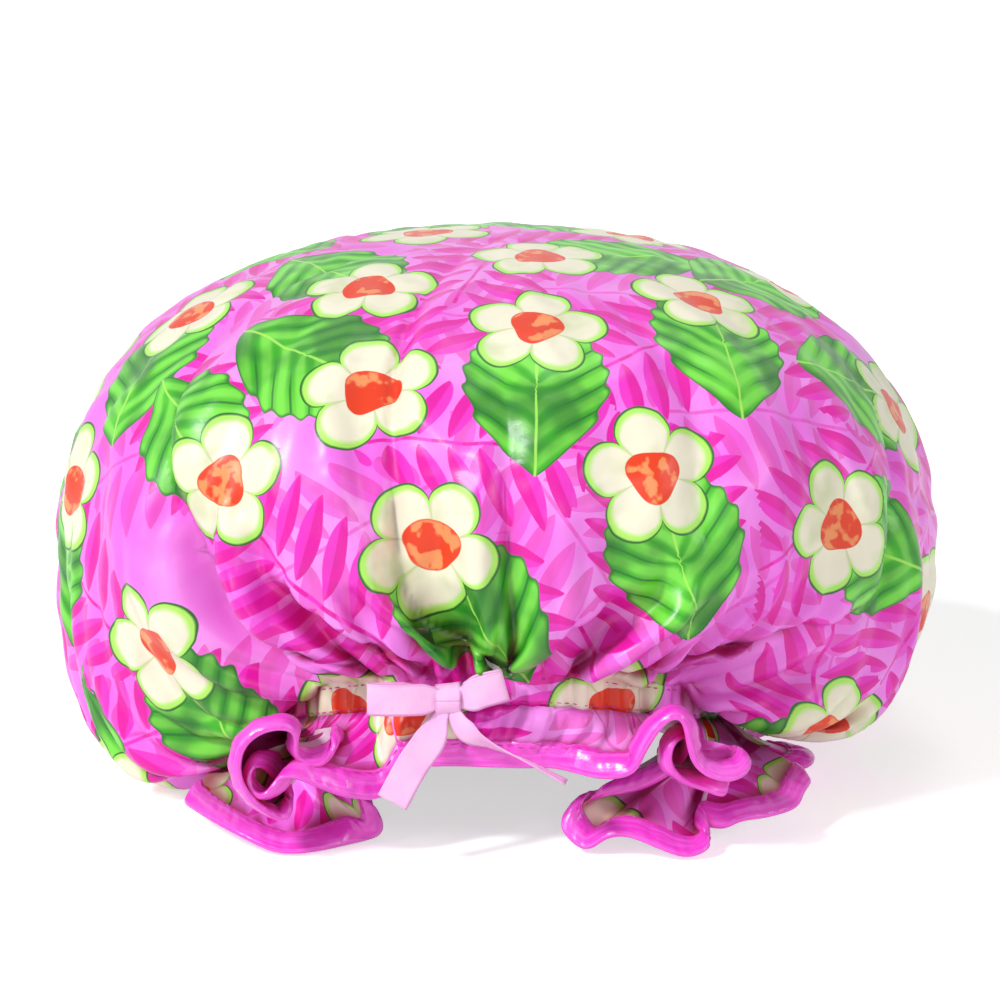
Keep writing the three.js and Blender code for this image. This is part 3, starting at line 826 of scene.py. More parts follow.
def make_materials():
    """All the finishes, by name."""
    colours = settings().colours
    made = {}
    satin, tree, shader = new_material(
        "printed_satin", 0.33, Sheen_Weight=0.06, Sheen_Roughness=0.4,
        Specular_IOR_Level=0.42, Anisotropic=0.4,
    )
    # Painted shade: the print is darkened where the cloth lies hidden in its folds
    shade = fold_shade(tree).between(0.04, 0.5)
    tone = mixed(tree, shade, print_colour(tree, colours), colours.crease_shade, "MULTIPLY")
    paint(tree, shader, tone)
    weave_bump(tree, shader, 1400, 0.25)
    made["satin"] = satin
    reverse, tree, shader = new_material("satin_reverse", 0.6, Sheen_Weight=0.1)
    pale = mixed(tree, 0.62, print_colour(tree, colours), (0.86, 0.95, 0.9))
    # Painted shade: the back of the cloth is darkened where it lies hidden in its folds
    shade = fold_shade(tree, "fold_back").between(0.1, 0.8) * 0.8
    pale = mixed(tree, shade, pale, colours.crease_shade, "MULTIPLY")
    paint(tree, shader, pale)
    weave_bump(tree, shader, 1400, 0.3)
    made["reverse"] = reverse
    binding, tree, shader = new_material(
        "binding_satin", 0.26, Sheen_Weight=0.06, Specular_IOR_Level=0.7, Anisotropic=0.5,
    )
    x, y = flat_place(tree, "band")
    drawn = tree.nodes.new("ShaderNodeCombineXYZ")
    tree.links.new((x * 0.045).socket, drawn.inputs["X"])
    tree.links.new((y * 0.8).socket, drawn.inputs["Y"])
    # Painted sheen: streaks along the hem lighten the colour as satin highlights would; they also raise a
    # real bump below
    streak = noise(tree, 1, 3, drawn.outputs[0])
    tone = mixed(tree, streak.between(0.38, 0.75) * 0.7, colours.binding, colours.binding_sheen)
    # Painted shade: the binding turns dark crimson where it lies hidden in its folds
    tone = mixed(tree, fold_shade(tree).between(0.12, 0.75) * 0.85, tone, colours.shadowed)
    paint(tree, shader, tone)
    pucker = ((x + abs(y) * 0.5 + noise(tree, 60) * 5) * (TURN / 4.6)).sine()
    add_bump(tree, shader, streak * 0.35 + pucker * 0.16 + noise(tree, 1400) * 0.12, 0.4, 0.9 * MM)
    made["binding"] = binding
    for name, base, roughness in (
        ("pink_thread", (0.9, 0.2, 0.68), 0.55), ("elastic_weave", (0.95, 0.95, 0.94), 0.8),
        ("casing_tape", (0.96, 0.82, 0.93), 0.7),
    ):
        thread, tree, shader = new_material(name, roughness, Sheen_Weight=0.2)
        darker = tuple(part * 0.86 for part in base)
        tone = mixed(tree, noise(tree, 700).between(0.4, 0.6), base, darker)
        paint(tree, shader, tone)
        weave_bump(tree, shader, 2200, 0.5)
        made[name] = thread
    ribbon, tree, shader = new_material("bow_ribbon", 0.34, Sheen_Weight=0.25, Specular_IOR_Level=0.55)
    x, y = flat_place(tree, "ribbon")
    half = settings().ribbon.width / MM / 2
    selvedge = abs(y).between(half - 0.9, half - 0.6)
    base = mixed(tree, noise(tree, 120).between(0.3, 0.75), colours.ribbon, (0.98, 0.72, 0.93))
    tone = mixed(tree, selvedge * 0.45, base, (0.93, 0.55, 0.85))
    paint(tree, shader, tone)
    ribs = (x * (TURN / 0.42)).sine()
    add_bump(tree, shader, ribs * 0.18 + selvedge * 0.9 + noise(tree, 500) * 0.3, 0.3, 0.3 * MM)
    made["ribbon"] = ribbon
    film, tree, shader = new_material("lining_film", 0.42, Specular_IOR_Level=0.5)
    tone = mixed(tree, noise(tree, 30).between(0.3, 0.7), colours.lining, (0.88, 0.9, 0.9))
    paint(tree, shader, tone)
    add_bump(tree, shader, noise(tree, 160, 4), 0.4, 0.8 * MM)
    made["lining"] = film
    return made


finishes = {}


def dress(piece, body, slot, *nodes):
    """Seats a finished piece on its body, in place of its nodes."""
    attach(piece, body)
    if nodes:
        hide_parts(*nodes)
    return piece


def shared_out(centres, layers):
    """The layer of each motif, so that those of one layer keep apart from each other."""
    chosen = np.zeros(len(centres), int)
    for index in range(len(centres)):
        away = np.linalg.norm(centres[:index] - centres[index], axis=1)
        room = [min(away[chosen[:index] == layer], default=1) for layer in range(layers)]
        chosen[index] = int(np.argmax(room))
    return chosen


def print_cloth(mesh, points, normals, blossoms, sprigs, seed):
    """Lays the print on a mesh of quads, whose points lay at the given places before the cloth creased."""
    leaf_distance, leaf_choices = 27 * MM, 16
    random = np.random.default_rng(seed)
    places = spread_places(points, blossoms, int(random.integers(len(points))))
    turns = random.uniform(0, TURN, blossoms)
    frames = motif_frames(points, normals, places, turns)
    map_motifs(mesh, points, "blossom", frames)
    centre, along, across = frames
    leaf_centres, leaf_along = [], []
    for middle, first, second in zip(centre, along, across):
        options = []
        for turn in np.linspace(0, TURN, leaf_choices, endpoint=False):
            direction = first * math.cos(turn) + second * math.sin(turn)
            place = middle + direction * leaf_distance
            room = min([np.linalg.norm(place - other) for other in leaf_centres] or [1])
            room = min(room, *sorted(np.linalg.norm(centre - place, axis=1))[1:3])
            options.append((room, turn, place, direction))
        _, _, place, direction = max(options, key=lambda option: option[:2])
        leaf_centres.append(place)
        leaf_along.append(direction)
    leaf_centres, leaf_along = np.array(leaf_centres), np.array(leaf_along)
    leaf_across = np.cross(np.cross(along, across), leaf_along)
    layer_of = shared_out(leaf_centres, len(LEAF_LAYERS))
    for index, layer in enumerate(LEAF_LAYERS):
        chosen = layer_of == index
        map_motifs(mesh, points, layer, (leaf_centres[chosen], leaf_along[chosen], leaf_across[chosen]))
    for layer, _ in SPRIG_LAYERS:
        places = spread_places(points, sprigs, int(random.integers(len(points))))
        turns = random.uniform(0, TURN, sprigs)
        map_motifs(mesh, points, layer, motif_frames(points, normals, places, turns))


class SHOWERCAP_OT_crown(bpy.types.Operator):
    """Makes the puffed crown of printed satin, with its creases and gathers"""

    bl_idname = "shower_cap.crown"
    bl_label = "Crown"

    def execute(self, context):
        crown = settings().crown
        cells = crown.cells
        side = np.linspace(-1, 1, cells + 1)
        a, b = np.meshgrid(side, side, indexing="ij")
        x, y = a * np.sqrt(1 - b**2 / 2), b * np.sqrt(1 - a**2 / 2)
        share = np.hypot(x, y).ravel()
        angle = np.arctan2(x, -y).ravel()
        faces = band_faces(cells + 1, cells + 1, closed=False)
        points, height = crown_points(angle, share)
        rim = np.concatenate([
            np.arange(cells) * (cells + 1), cells * (cells + 1) + np.arange(cells),
            (np.arange(cells) + 1)[::-1] * (cells + 1) + cells, (np.arange(cells) + 1)[::-1],
        ])
        bands = 3
        below = len(points) + np.arange(bands * len(rim)).reshape(bands, -1)
        rows = np.concatenate([rim[None], below])
        following = np.roll(rows, -1, 1)
        band = np.stack([rows[:-1], following[:-1], following[1:], rows[1:]], -1).reshape(-1, 4)
        drops = [points[rim] + DOWN * 2 * HALF_CASING * step / bands for step in range(1, bands + 1)]
        points = np.concatenate([points, *drops])
        angle = np.concatenate([angle, *[angle[rim]] * bands])
        height = np.concatenate([height, np.zeros(below.size)])
        corners = points[band]
        if (face_normals(corners) * (corners.mean(1) - corners.mean((0, 1)))).sum() < 0:
            band = band[:, ::-1]
        if vertex_normals(points, faces)[(cells + 1) * (cells // 2) + cells // 2, 2] < 0:
            faces = faces[:, ::-1]
        faces = np.concatenate([faces, band])
        pattern = subdivided(smooth_object("crown_pattern", points, faces, []))
        smooth = vertex_array(pattern.data)
        bpy.data.objects.remove(pattern)
        radius = np.hypot(points[:, 0], points[:, 1] - crown.middle)
        folded = fold_offsets(angle, height, radius, FOLDS) + gather_offsets(angle, height)
        points = points + outward(angle) * folded[:, None]
        piece = smooth_object("crown_cloth", points, faces, [finishes["satin"]])
        for name, values in (("sine", np.sin(angle)), ("cosine", np.cos(angle)), ("height", height)):
            keep(piece.data, name, values)
        crumple(piece, height)
        subdivided(piece)
        sharpen(piece.data)
        keep(piece.data, "unfolded", smooth)
        normals = vertex_normals(smooth, face_array(piece.data))
        print_cloth(piece.data, smooth, normals, blossoms=44, sprigs=44, seed=7)
        thicken(piece, crown.cloth_thickness)
        dress(piece, "cap", "printed_satin", "crown_satin")
        return {"FINISHED"}


class SHOWERCAP_OT_lining(bpy.types.Operator):
    """Makes the waterproof film inside the crown"""

    bl_idname = "shower_cap.lining"
    bl_label = "Lining"

    def execute(self, context):
        cloth = bpy.data.objects["crown_cloth"].data
        points, faces = vertex_array(cloth), face_array(cloth)
        height, smooth = kept(cloth, "height"), kept(cloth, "unfolded")
        cloth.attributes.remove(cloth.attributes["unfolded"])
        facing = vertex_normals(smooth, faces)
        satin = BVHTree.FromPolygons(points.tolist(), faces.tolist())
        film_gap, seam_gap, way_back = 1.3 * MM, 1.2 * MM, 1 * MM
        fold_reach, outer_reach, inner_reach = 25 * MM, 60 * MM, 12 * MM

        # The innermost layer of the satin, seen along the smooth crown's normals
        behind = np.interp(height, (0, 0.015), (2, 26)) * MM
        depth = ((points - smooth) * facing).sum(-1)
        for index, (place, way, back) in enumerate(zip(smooth, facing, behind)):
            reached = satin.ray_cast(place - way * back, way, back + fold_reach)[3]
            if reached is not None:
                depth[index] = min(depth[index], reached - back)
        room = depth.copy()
        for _ in range(2):
            lowest = depth[faces].min(1)
            for corner in range(4):
                np.minimum.at(depth, faces[:, corner], lowest)
        for _ in range(2):
            depth = spread(depth, faces)
        lined = smooth + facing * (np.minimum(depth, room) - film_gap)[:, None]

        # At the casing the film is sewn on, close behind the satin
        away = points - np.array([0, settings().crown.middle, 0])
        away[:, 2] = 0
        away = unit(away)
        sewn = points - lerp(away, facing, smoothstep(height, 0, 0.012)[:, None]) * seam_gap
        lined = lerp(sewn, lined, smoothstep(height, 0.002, 0.02)[:, None])

        # Places near the casing that came out through the satin go back behind it
        for index in np.flatnonzero((height > 0) & (height < 0.12)):
            place, way = Vector(lined[index]), Vector(away[index])
            if satin.ray_cast(place, way, outer_reach)[0] is None:
                reached = satin.ray_cast(place, -way, inner_reach)[3]
                if reached is not None:
                    lined[index] -= away[index] * (reached + way_back)
        piece = smooth_object("lining_cloth", lined, faces, [finishes["lining"]])
        thicken(piece, 0.3 * MM)
        dress(piece, "cap", "lining_film", "waterproof_lining")
        return {"FINISHED"}


# The hem's route over both front lobes, from the arch outwards: its place in millimetres, the way in which
# the cloth runs where it reaches the hem, and the turn in degrees on the casing from which that cloth comes
LEFT_HEM = [
    ((-27.6, -118, 28.8), (0, -3, -10), -24), ((-33.7, -122, 20.7), (0, -4, -10), -27),
    ((-44.3, -126, 21.8), (0, -5, -9), -30), ((-52.7, -128.5, 25.5), (0, -6, -8), -32),
    ((-59.9, -130, 29.3), (0, -6, -8), -34), ((-65.1, -131, 29.6), (-3, -8, -5), -35),
    ((-67.8, -131.5, 26.6), (-8, -6, 0), -36), ((-70.3, -132, 23.2), (-3, -8, 5), -36.5),
    ((-73.6, -132, 24.8), (5, -8, 3), -37), ((-74.8, -131, 28.9), (8, -6, 0), -38),
    ((-73.4, -129, 32.1), (3, -7, -6), -38.5), ((-70.6, -124, 30.5), (0, -7, -6), -39),
    ((-66.6, -120, 24.9), (3, -6, -6), -40), ((-62.9, -122, 21.1), (5, -6, -6), -40.5),
    ((-61.5, -125, 18.9), (5, -7, -5), -41), ((-63.3, -128, 14.7), (2, -7, -7), -42),
    ((-66.8, -130, 16.7), (0, -7, 3), -43), ((-73.3, -133, 23.2), (5, -7, 5), -44),
    ((-77.1, -134, 30.9), (8, -6, 2), -45.5), ((-76.3, -134, 39.2), (8, -6, -3), -47),
    ((-71.7, -133.5, 44.1), (4, -6, -7), -48), ((-65.1, -133, 45.9), (0, -6, -8), -49),
    ((-60.3, -131, 43.7), (-2, -6, -8), -49.5), ((-60.3, -128, 35.6), (6, -6, -5), -50),
    ((-57.3, -127, 32.1), (0, -6, -8), -50.5), ((-51.9, -126, 31.8), (0, -6, -8), -51),
    ((-49.4, -124, 35.9), (-5, -6, -5), -51.5), ((-49.9, -119, 38.8), (-5, -5, -5), -52),
    ((-45.6, -112, 31), (0, -3, -8), -52.5), ((-39.4, -107, 16.3), (3, 0, -9), -53),
    ((-34.6, -105, 4.1), (2, 9, -2), -54), ((-41.4, -108, 1.6), (0, 2, -9), -55),
    ((-48.1, -113, 1.6), (0, -6, -7), -57), ((-54.7, -117, 1.6), (0, -8, -5), -59),
    ((-59.3, -119, 1.6), (-1, -8, -4), -61), ((-68, -118, 1.6), (-2, -8, -4), -64),
    ((-77.5, -114, 4.6), (-3, -8, -4), -67), ((-88.5, -103, 6.7), (-5, -7, -4), -71),
    ((-98.7, -88, 7.8), (-8, -4, -4), -75.6),
]
RIGHT_HEM = [
    ((18.2, -118, 28.8), (0, -3, -10), 22), ((24.6, -120.4, 28), (0, -4, -9), 24.5),
    ((30.8, -123.6, 27.3), (0, -5, -8.5), 27), ((37, -126, 27.9), (0, -5, -8.5), 29),
    ((42.3, -128, 30.2), (-3, -6, -7), 31), ((46.1, -130, 37.9), (8, -6, 0), 33),
    ((50, -131, 44.9), (5, -6, -5), 35), ((54.5, -131.5, 49.2), (0, -6, -8), 37),
    ((57.5, -131, 47.5), (-5, -6, -5), 38), ((58.9, -130, 40.1), (-8, -6, 0), 39),
    ((61.1, -129.5, 33.3), (-3, -7, -5), 40), ((66.4, -129, 28.9), (0, -7, -7), 42),
    ((73.6, -127, 27.6), (0, -7, -7), 44), ((78.7, -123, 30.1), (2, -6, -7), 45.5),
    ((77.1, -118, 31.4), (3, -3, -3), 46), ((70.9, -116, 26.2), (0, -6, -6), 46.5),
    ((71.9, -120, 20.1), (0, -6, -8), 47), ((64.6, -124, 23.4), (2, -7, -6), 47.5),
    ((57.7, -127, 27.3), (6, -7, -2), 48), ((53.6, -128.5, 33.2), (8, -6, 1), 49),
    ((54.1, -128.5, 38.7), (7, -6, -3), 49.5), ((57.2, -126, 41.1), (2, -6, -7), 50),
    ((59.4, -120, 36.9), (0, -5, -7), 50.5), ((56.7, -114, 27.5), (0, -3, -9), 51),
    ((45.2, -109, 18.6), (0, -1, -9), 51.5), ((30.4, -107, 14.6), (-5, 0, -8), 52),
    ((20.4, -111, 8.8), (-5, -1, -8), 52.5), ((25, -116, 3.3), (-3, -7, -6), 53),
    ((29, -118, 2.1), (0, -8, -5), 54), ((34.1, -120, 6.7), (0, -8, -4), 56),
    ((41.2, -121, 7.7), (0, -8, -4), 58), ((51.3, -123, 4.2), (0, -8, -4), 60),
    ((59.7, -123, 1.6), (0, -9, -3), 62), ((67.2, -120, 4.4), (4, -8, -3), 63.5),
    ((63.9, -113, 6.2), (0, -4, -8), 64.5), ((62.1, -110, 7.8), (0, -4, -8), 65),
    ((71.4, -112, 6.9), (0, -6, -8), 66), ((75.7, -112, 9.5), (0, -7, -6), 67),
    ((84.3, -108, 9.4), (2, -7, -6), 69), ((94.5, -101, 10.3), (7, -5, -5), 72),
    ((97.2, -94, 12.8), (8, -3, -3), 74), ((100.6, -86, 14.1), (8, -3, -4), 75.6),
]


def bend(points, count):
    """A smooth path through given points."""
    points = np.asarray(points, float)
    padded = np.concatenate([[2 * points[0] - points[1]], points, [2 * points[-1] - points[-2]]])
    at = np.linspace(0, len(points) - 1, count)
    leg = np.minimum(at.astype(int), len(points) - 2)
    t = (at - leg)[:, None]
    a, b, c, d = padded[leg], padded[leg + 1], padded[leg + 2], padded[leg + 3]
    return 0.5 * (2 * b + (c - a) * t + (2 * a - 5 * b + 4 * c - d) * t**2 + (3 * b - a - 3 * c + d) * t**3)


def back_hem(first, last):
    """The hem between the front lobes, behind the cap: turns on the casing, places and directions."""
    angle = np.linspace(first, last, 1500)
    out, along = outward(angle), sideways(angle)
    wave = (settings().frill.ruffles * angle)[:, None]
    size = 1 + 0.2 * np.sin(angle * 5.3 + 1)[:, None]
    crest = (1 + np.cos(wave)) / 2
    flare = lerp(15, 13 + 8 * np.sin(angle), np.sin(angle) ** 4)[:, None]
    place = opening(angle) + out * (flare + 9 * np.cos(wave) * size) * MM
    place += along * 4.5 * size * np.sin(2 * wave) * MM
    place[:, 2:] = (1.4 + 4 * crest * size) * MM
    ways = unit(out * (0.5 + crest) + DOWN * (1.1 - 0.8 * crest) + along * 0.5 * np.sin(2 * wave))
    return angle, place, ways


def hem_route():
    """The whole hem at even steps: turns on the casing, places and directions."""
    arch_steps, lobe_steps, evening = 160, 1600, 11
    left, right = np.array(LEFT_HEM[0][0]) * MM, np.array(RIGHT_HEM[0][0]) * MM
    arch = bend([left, lerp(left, right, 0.3) + (0, 0, 0.0006), lerp(left, right, 0.7), right], arch_steps)
    turns = np.linspace(math.radians(LEFT_HEM[0][2]), math.radians(RIGHT_HEM[0][2]), arch_steps)
    lobes = []
    for table in (LEFT_HEM, RIGHT_HEM):
        places, ways, degrees = zip(*table)
        stops = np.linspace(0, 1, len(table))
        lobe_turns = np.radians(np.interp(np.linspace(0, 1, lobe_steps), stops, degrees))
        lobes.append((lobe_turns, bend(places, lobe_steps) * MM, unit(bend(ways, lobe_steps))))
    (left_turns, left_places, left_ways), right_lobe = lobes
    side = math.radians(RIGHT_HEM[-1][2])
    angle, places, ways = back_hem(side, TURN - side)
    blend = smoothstep(np.abs(angle - math.pi), math.pi - side - 0.14, math.pi - side)[:, None]
    near = np.where(angle[:, None] < math.pi, right_lobe[1][-1], left_places[-1])
    angle, places, ways = (np.concatenate(parts) for parts in zip(
        (turns, arch, np.tile((0, -0.28, -0.96), (arch_steps, 1))),
        right_lobe,
        (angle, lerp(places, near, blend), ways),
        (TURN + left_turns[::-1], left_places[::-1], left_ways[::-1]),
    ))
    apart = np.linalg.norm(np.diff(looped(places), axis=0), axis=1) > 1e-6
    angle, places, ways = angle[apart], places[apart], ways[apart]
    run = run_along(looped(places))
    even = np.linspace(0, run[-1], settings().frill.columns, endpoint=False)
    turned = np.interp(even, run, np.append(angle, angle[0] + TURN))
    kernel = np.hanning(evening) / np.hanning(evening).sum()

    def evened(values):
        taken = read_off(even, run, looped(values))
        padded = np.concatenate([taken[-(evening // 2):], taken, taken[:evening // 2]])
        return np.stack([np.convolve(value, kernel, "valid") for value in padded.T], -1)

    return turned, evened(places), unit(evened(ways))


def frill_rows():
    """The frill's middle surface: rows of points from the casing down to the hem."""
    lowest = 1.3 * MM
    angle, edge, ways = hem_route()
    out = outward(angle)
    front = smoothstep(np.cos(angle), 0, 0.4)[:, None]
    top = opening(angle) + DOWN * HALF_CASING
    gathers = out * casing_gathers(angle)
    chord = np.linalg.norm(edge - top, axis=1, keepdims=True)
    cut = lerp(26 * MM, 42 * MM, smoothstep(np.abs(edge[:, :1] + 4 * MM), 22 * MM, 40 * MM))
    spare = np.maximum(cut - chord, 0) + chord
    leave = unit(DOWN + out * lerp(0.5, 0.9, front)) * spare * 0.9
    arrive = ways * spare * 0.8
    rows = []
    for share in np.linspace(0, 1, settings().frill.rows + 1):
        rows.append(
            (2 * share**3 - 3 * share**2 + 1) * top + (share**3 - 2 * share**2 + share) * leave
            + (3 * share**2 - 2 * share**3) * edge + (share**3 - share**2) * arrive
            + gathers * np.interp(share, (0, 0.3, 0.55, 0.85), (1, 2.2, 1.4, 0))
        )
    rows = np.array(rows)
    rows[..., 2] = np.maximum(rows[..., 2], lowest)
    return rows


class SHOWERCAP_OT_frill(bpy.types.Operator):
    """Makes the ruffled frill below the casing"""

    bl_idname = "shower_cap.frill"
    bl_label = "Frill"

    def execute(self, context):
        rows = frill_rows()
        count, columns = rows.shape[:2]
        faces = band_faces(count, columns)
        both_sides = [finishes["satin"], finishes["reverse"]]
        piece = smooth_object("frill_cloth", rows.reshape(-1, 3), faces, both_sides)
        fall = run_down(rows)
        run = np.broadcast_to(run_round(rows[-1]), fall.shape)
        flat = np.stack([run, fall, np.zeros_like(fall)], -1).reshape(-1, 3)
        upright = np.tile((0.0, 0.0, 1.0), (len(flat), 1))
        print_cloth(piece.data, flat, upright, blossoms=20, sprigs=16, seed=3)
        thicken(piece, settings().crown.cloth_thickness, 0).material_offset = 1
        dress(piece, "cap", "printed_satin", "frill_satin")
        return {"FINISHED"}


def hem_lines(rows, heights):
    """Lines on the frill at distances up from its hem, and the cloth's normals there."""
    up = rows[::-1]
    run = run_down(up)
    normals = vertex_normals(rows.reshape(-1, 3), band_faces(*rows.shape[:2])).reshape(rows.shape)[::-1]
    return read_off_columns(heights, run, up), unit(read_off_columns(heights, run, normals))


class SHOWERCAP_OT_binding(bpy.types.Operator):
    """Folds the satin binding round the frill's edge and sews it down"""

    bl_idname = "shower_cap.binding"
    bl_label = "Binding"

    def execute(self, context):
        frill = settings().frill
        rows = frill_rows()
        depth, half = frill.binding_depth, frill.binding_thickness
        pucker_length, wander_length, seam_depth, seam_lift = 7 * MM, 19 * MM, 1.3 * MM, 1.32
        up_shares = np.array([1, 0.94, 0.8, 0.6, 0.38, 0.18, 0.06])
        roll = np.array([0.35, 0.9, 1.35, 1.7, 1.65, 1.35, 1.1]) * half
        lines, normals = hem_lines(rows, up_shares * depth)
        run = run_round(rows[-1])
        wave = np.sin(run / pucker_length * TURN + 2.5 * np.sin(run / wander_length))
        swell = roll[:, None] * (1 + frill.pucker * wave * np.sin(math.pi * up_shares**1.4)[:, None])
        below = unit(lines[-1] - lines[-2])
        turns = np.linspace(0.45, math.pi - 0.45, 4)
        outer = [(line, normal * size[:, None]) for line, normal, size in zip(lines, normals, swell)]
        section = [line + lift for line, lift in outer]
        section += [
            lines[-1] + below * half * math.sin(turn) + normals[-1] * half * math.cos(turn) for turn in turns
        ]
        section += [line - lift for line, lift in outer[::-1]]
        columns = rows.shape[1]
        faces = band_faces(len(section) + 1, columns) % (len(section) * columns)
        piece = smooth_object("frill_binding", np.concatenate(section), faces, [finishes["binding"]])
        row, column = np.divmod(face_array(piece.data), columns)
        lay_flat(piece.data, "band", np.stack([run[column] / MM, (row - len(section) / 2) * 1.2], -1))
        dress(piece, "cap", "binding_satin", "hem_binding")
        seam, facing = hem_lines(rows, np.array([depth - seam_depth]))
        stitches = thread_row("binding_stitches", seam[0] + facing[0] * half * seam_lift, facing[0])
        dress(stitches, "cap", "pink_thread", "binding_thread")
        cloth = bpy.data.objects["frill_cloth"]
        width = float(run_down(rows)[-1].mean())
        # How far the cloth lies hidden in its folds, for the painted shade in the materials
        mark_painted_fold_shade((bpy.data.objects["crown_cloth"], cloth, piece))
        return {"FINISHED"}


def mark_painted_fold_shade(pieces, rays=14, reach=18 * MM):
    """Marks how far each point of the cloth lies hidden in its folds, on its outer side and on its back, for
    the shade that the materials paint there.
    """
    clouds = [vertex_array(piece.data) for piece in pieces]
    quads = [face_array(piece.data) for piece in pieces]
    starts = np.cumsum([0, *(len(cloud) for cloud in clouds)])
    every = np.concatenate([faces + start for faces, start in zip(quads, starts)])
    tree = BVHTree.FromPolygons(np.concatenate(clouds).tolist(), every.tolist())
    share = (np.arange(rays) + 0.5) / rays
    golden_turn, lift = 2.39996, 0.9 * MM
    turn = np.arange(rays) * golden_turn
    fan = np.stack([np.sqrt(share) * np.cos(turn), np.sqrt(share) * np.sin(turn), np.sqrt(1 - share)], -1)
    for piece, points, faces in zip(pieces, clouds, quads):
        normals = vertex_normals(points, faces)
        sides = (("fold", 1), ("fold_back", -1)) if piece.name == "frill_cloth" else (("fold", 1),)
        for name, side in sides:
            facing = normals * side
            level, upright = level_and_upright(facing)
            origins = (points + facing * lift).tolist()
            depth = np.zeros(len(points))
            for x, y, z in fan:
                ways = (level * x + upright * y + facing * z).tolist()
                for index, (origin, way) in enumerate(zip(origins, ways)):
                    distance = tree.ray_cast(origin, way, reach)[3]
                    if distance is not None:
                        depth[index] += 1 - distance / reach
            depth /= rays
            for _ in range(2):
                depth = spread(depth, faces)
            keep(piece.data, name, depth)


def thread_row(name, line, normal, stitch=2.6 * MM, gap=1.1 * MM, radius=0.22 * MM):
    """Separate stitches that follow a closed line of points."""
    places, normals = looped(line), looped(normal)
    run = run_along(places)
    count = int(run[-1] // (stitch + gap))
    pitch = run[-1] / count
    swell = np.array([0.25, 0.9, 1, 0.9, 0.25])[:, None] * radius
    rings, sides = len(swell), 6
    vertices, faces = [], []
    for index in range(count):
        at = index * pitch + np.linspace(0, stitch, rings)
        path = read_off(at, run, places)
        up = unit(read_off(at, run, normals))
        side = unit(np.cross(unit(path[-1] - path[0]), up))
        turns = np.arange(sides) / sides * TURN
        ring = [path + (up * math.sin(turn) + side * math.cos(turn)) * swell for turn in turns]
        vertices.append(np.stack(ring, 1).reshape(-1, 3))
        faces.append(band_faces(rings, sides, start=index * rings * sides))
    return smooth_object(name, np.concatenate(vertices), np.concatenate(faces), [finishes["pink_thread"]])


class SHOWERCAP_OT_casing(bpy.types.Operator):
    """Finishes the elastic and its tape and sews the two rows of stitches that hold them"""

    bl_idname = "shower_cap.casing"
    bl_label = "Casing"

    def execute(self, context):
        for node, finish in (
            ("elastic_band", "elastic_weave"), ("casing_tape", "casing_tape"),
            ("bow_tack_thread", "pink_thread"),
        ):
            piece = frame["nodes"][node]
            piece.data.materials.clear()
            piece.data.materials.append(finishes[finish])
        around, stand_out = 400, 0.15 * MM
        angle = np.linspace(0, TURN, around, endpoint=False)
        inside = settings().frill.casing_depth + 0.9 * MM
        outside = casing_gathers(angle) + stand_out
        out = outward(angle)
        for name, node in (
            ("upper_casing_stitches", "casing_thread_upper"),
            ("lower_casing_stitches", "casing_thread_lower"),
        ):
            low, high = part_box(node)
            line = opening(angle)
            line[:, 2] += (low.z + high.z - tape_low.z - tape_high.z) / 2
            row = thread_row(name, line - out * inside, -out, 2.2 * MM, 0.9 * MM)
            dress(row, "cap", "pink_thread", node)
            shown = thread_row(name + "_outside", line + out * outside, out, 2 * MM, 1 * MM)
            dress(shown, "cap", "pink_thread")
        return {"FINISHED"}


def ribbon_piece(name, path, widths, pinch):
    """A ribbon along a path, as a soft closed strip with the flat place along and across it."""
    ribbon = settings().ribbon
    path, widths = np.asarray(path, float), unit(np.asarray(widths, float))
    run = run_along(path)
    tangent = unit(np.gradient(path, axis=0))
    widths = unit(widths - (widths * tangent).sum(-1, keepdims=True) * tangent)
    face = np.cross(tangent, widths)
    across = np.linspace(-1, 1, 9)
    share = np.concatenate([across, across[::-1]])[:, None]
    side = np.repeat([1, -1], len(across))[:, None]
    selvedge = ribbon.thickness / 2 * np.where(np.abs(share) > 0.86, 1.25, 1)
    reach = widths[:, None] * share * ribbon.width / 2 * pinch[:, None, None]
    rows = path[:, None] + reach + face[:, None] * side * selvedge
    flat = np.broadcast_arrays(run[:, None] / MM, share.T * ribbon.width / 2 / MM)
    flat = np.stack(flat, -1).reshape(-1, 2)
    around = len(share)
    faces = [tuple(quad) for quad in band_faces(len(path), around)]
    faces.append(tuple(range(around)))
    faces.append(tuple(range((len(path) - 1) * around, len(path) * around))[::-1])
    piece = smooth_object(name, rows.reshape(-1, 3), faces, [finishes["ribbon"]])
    lay_flat(piece.data, "ribbon", flat[corner_array(piece.data)])
    return piece


def ribbon_sheet(path):
    """Measures the length of a ribbon path; the length is not used."""
    run = float(run_along(path)[-1])


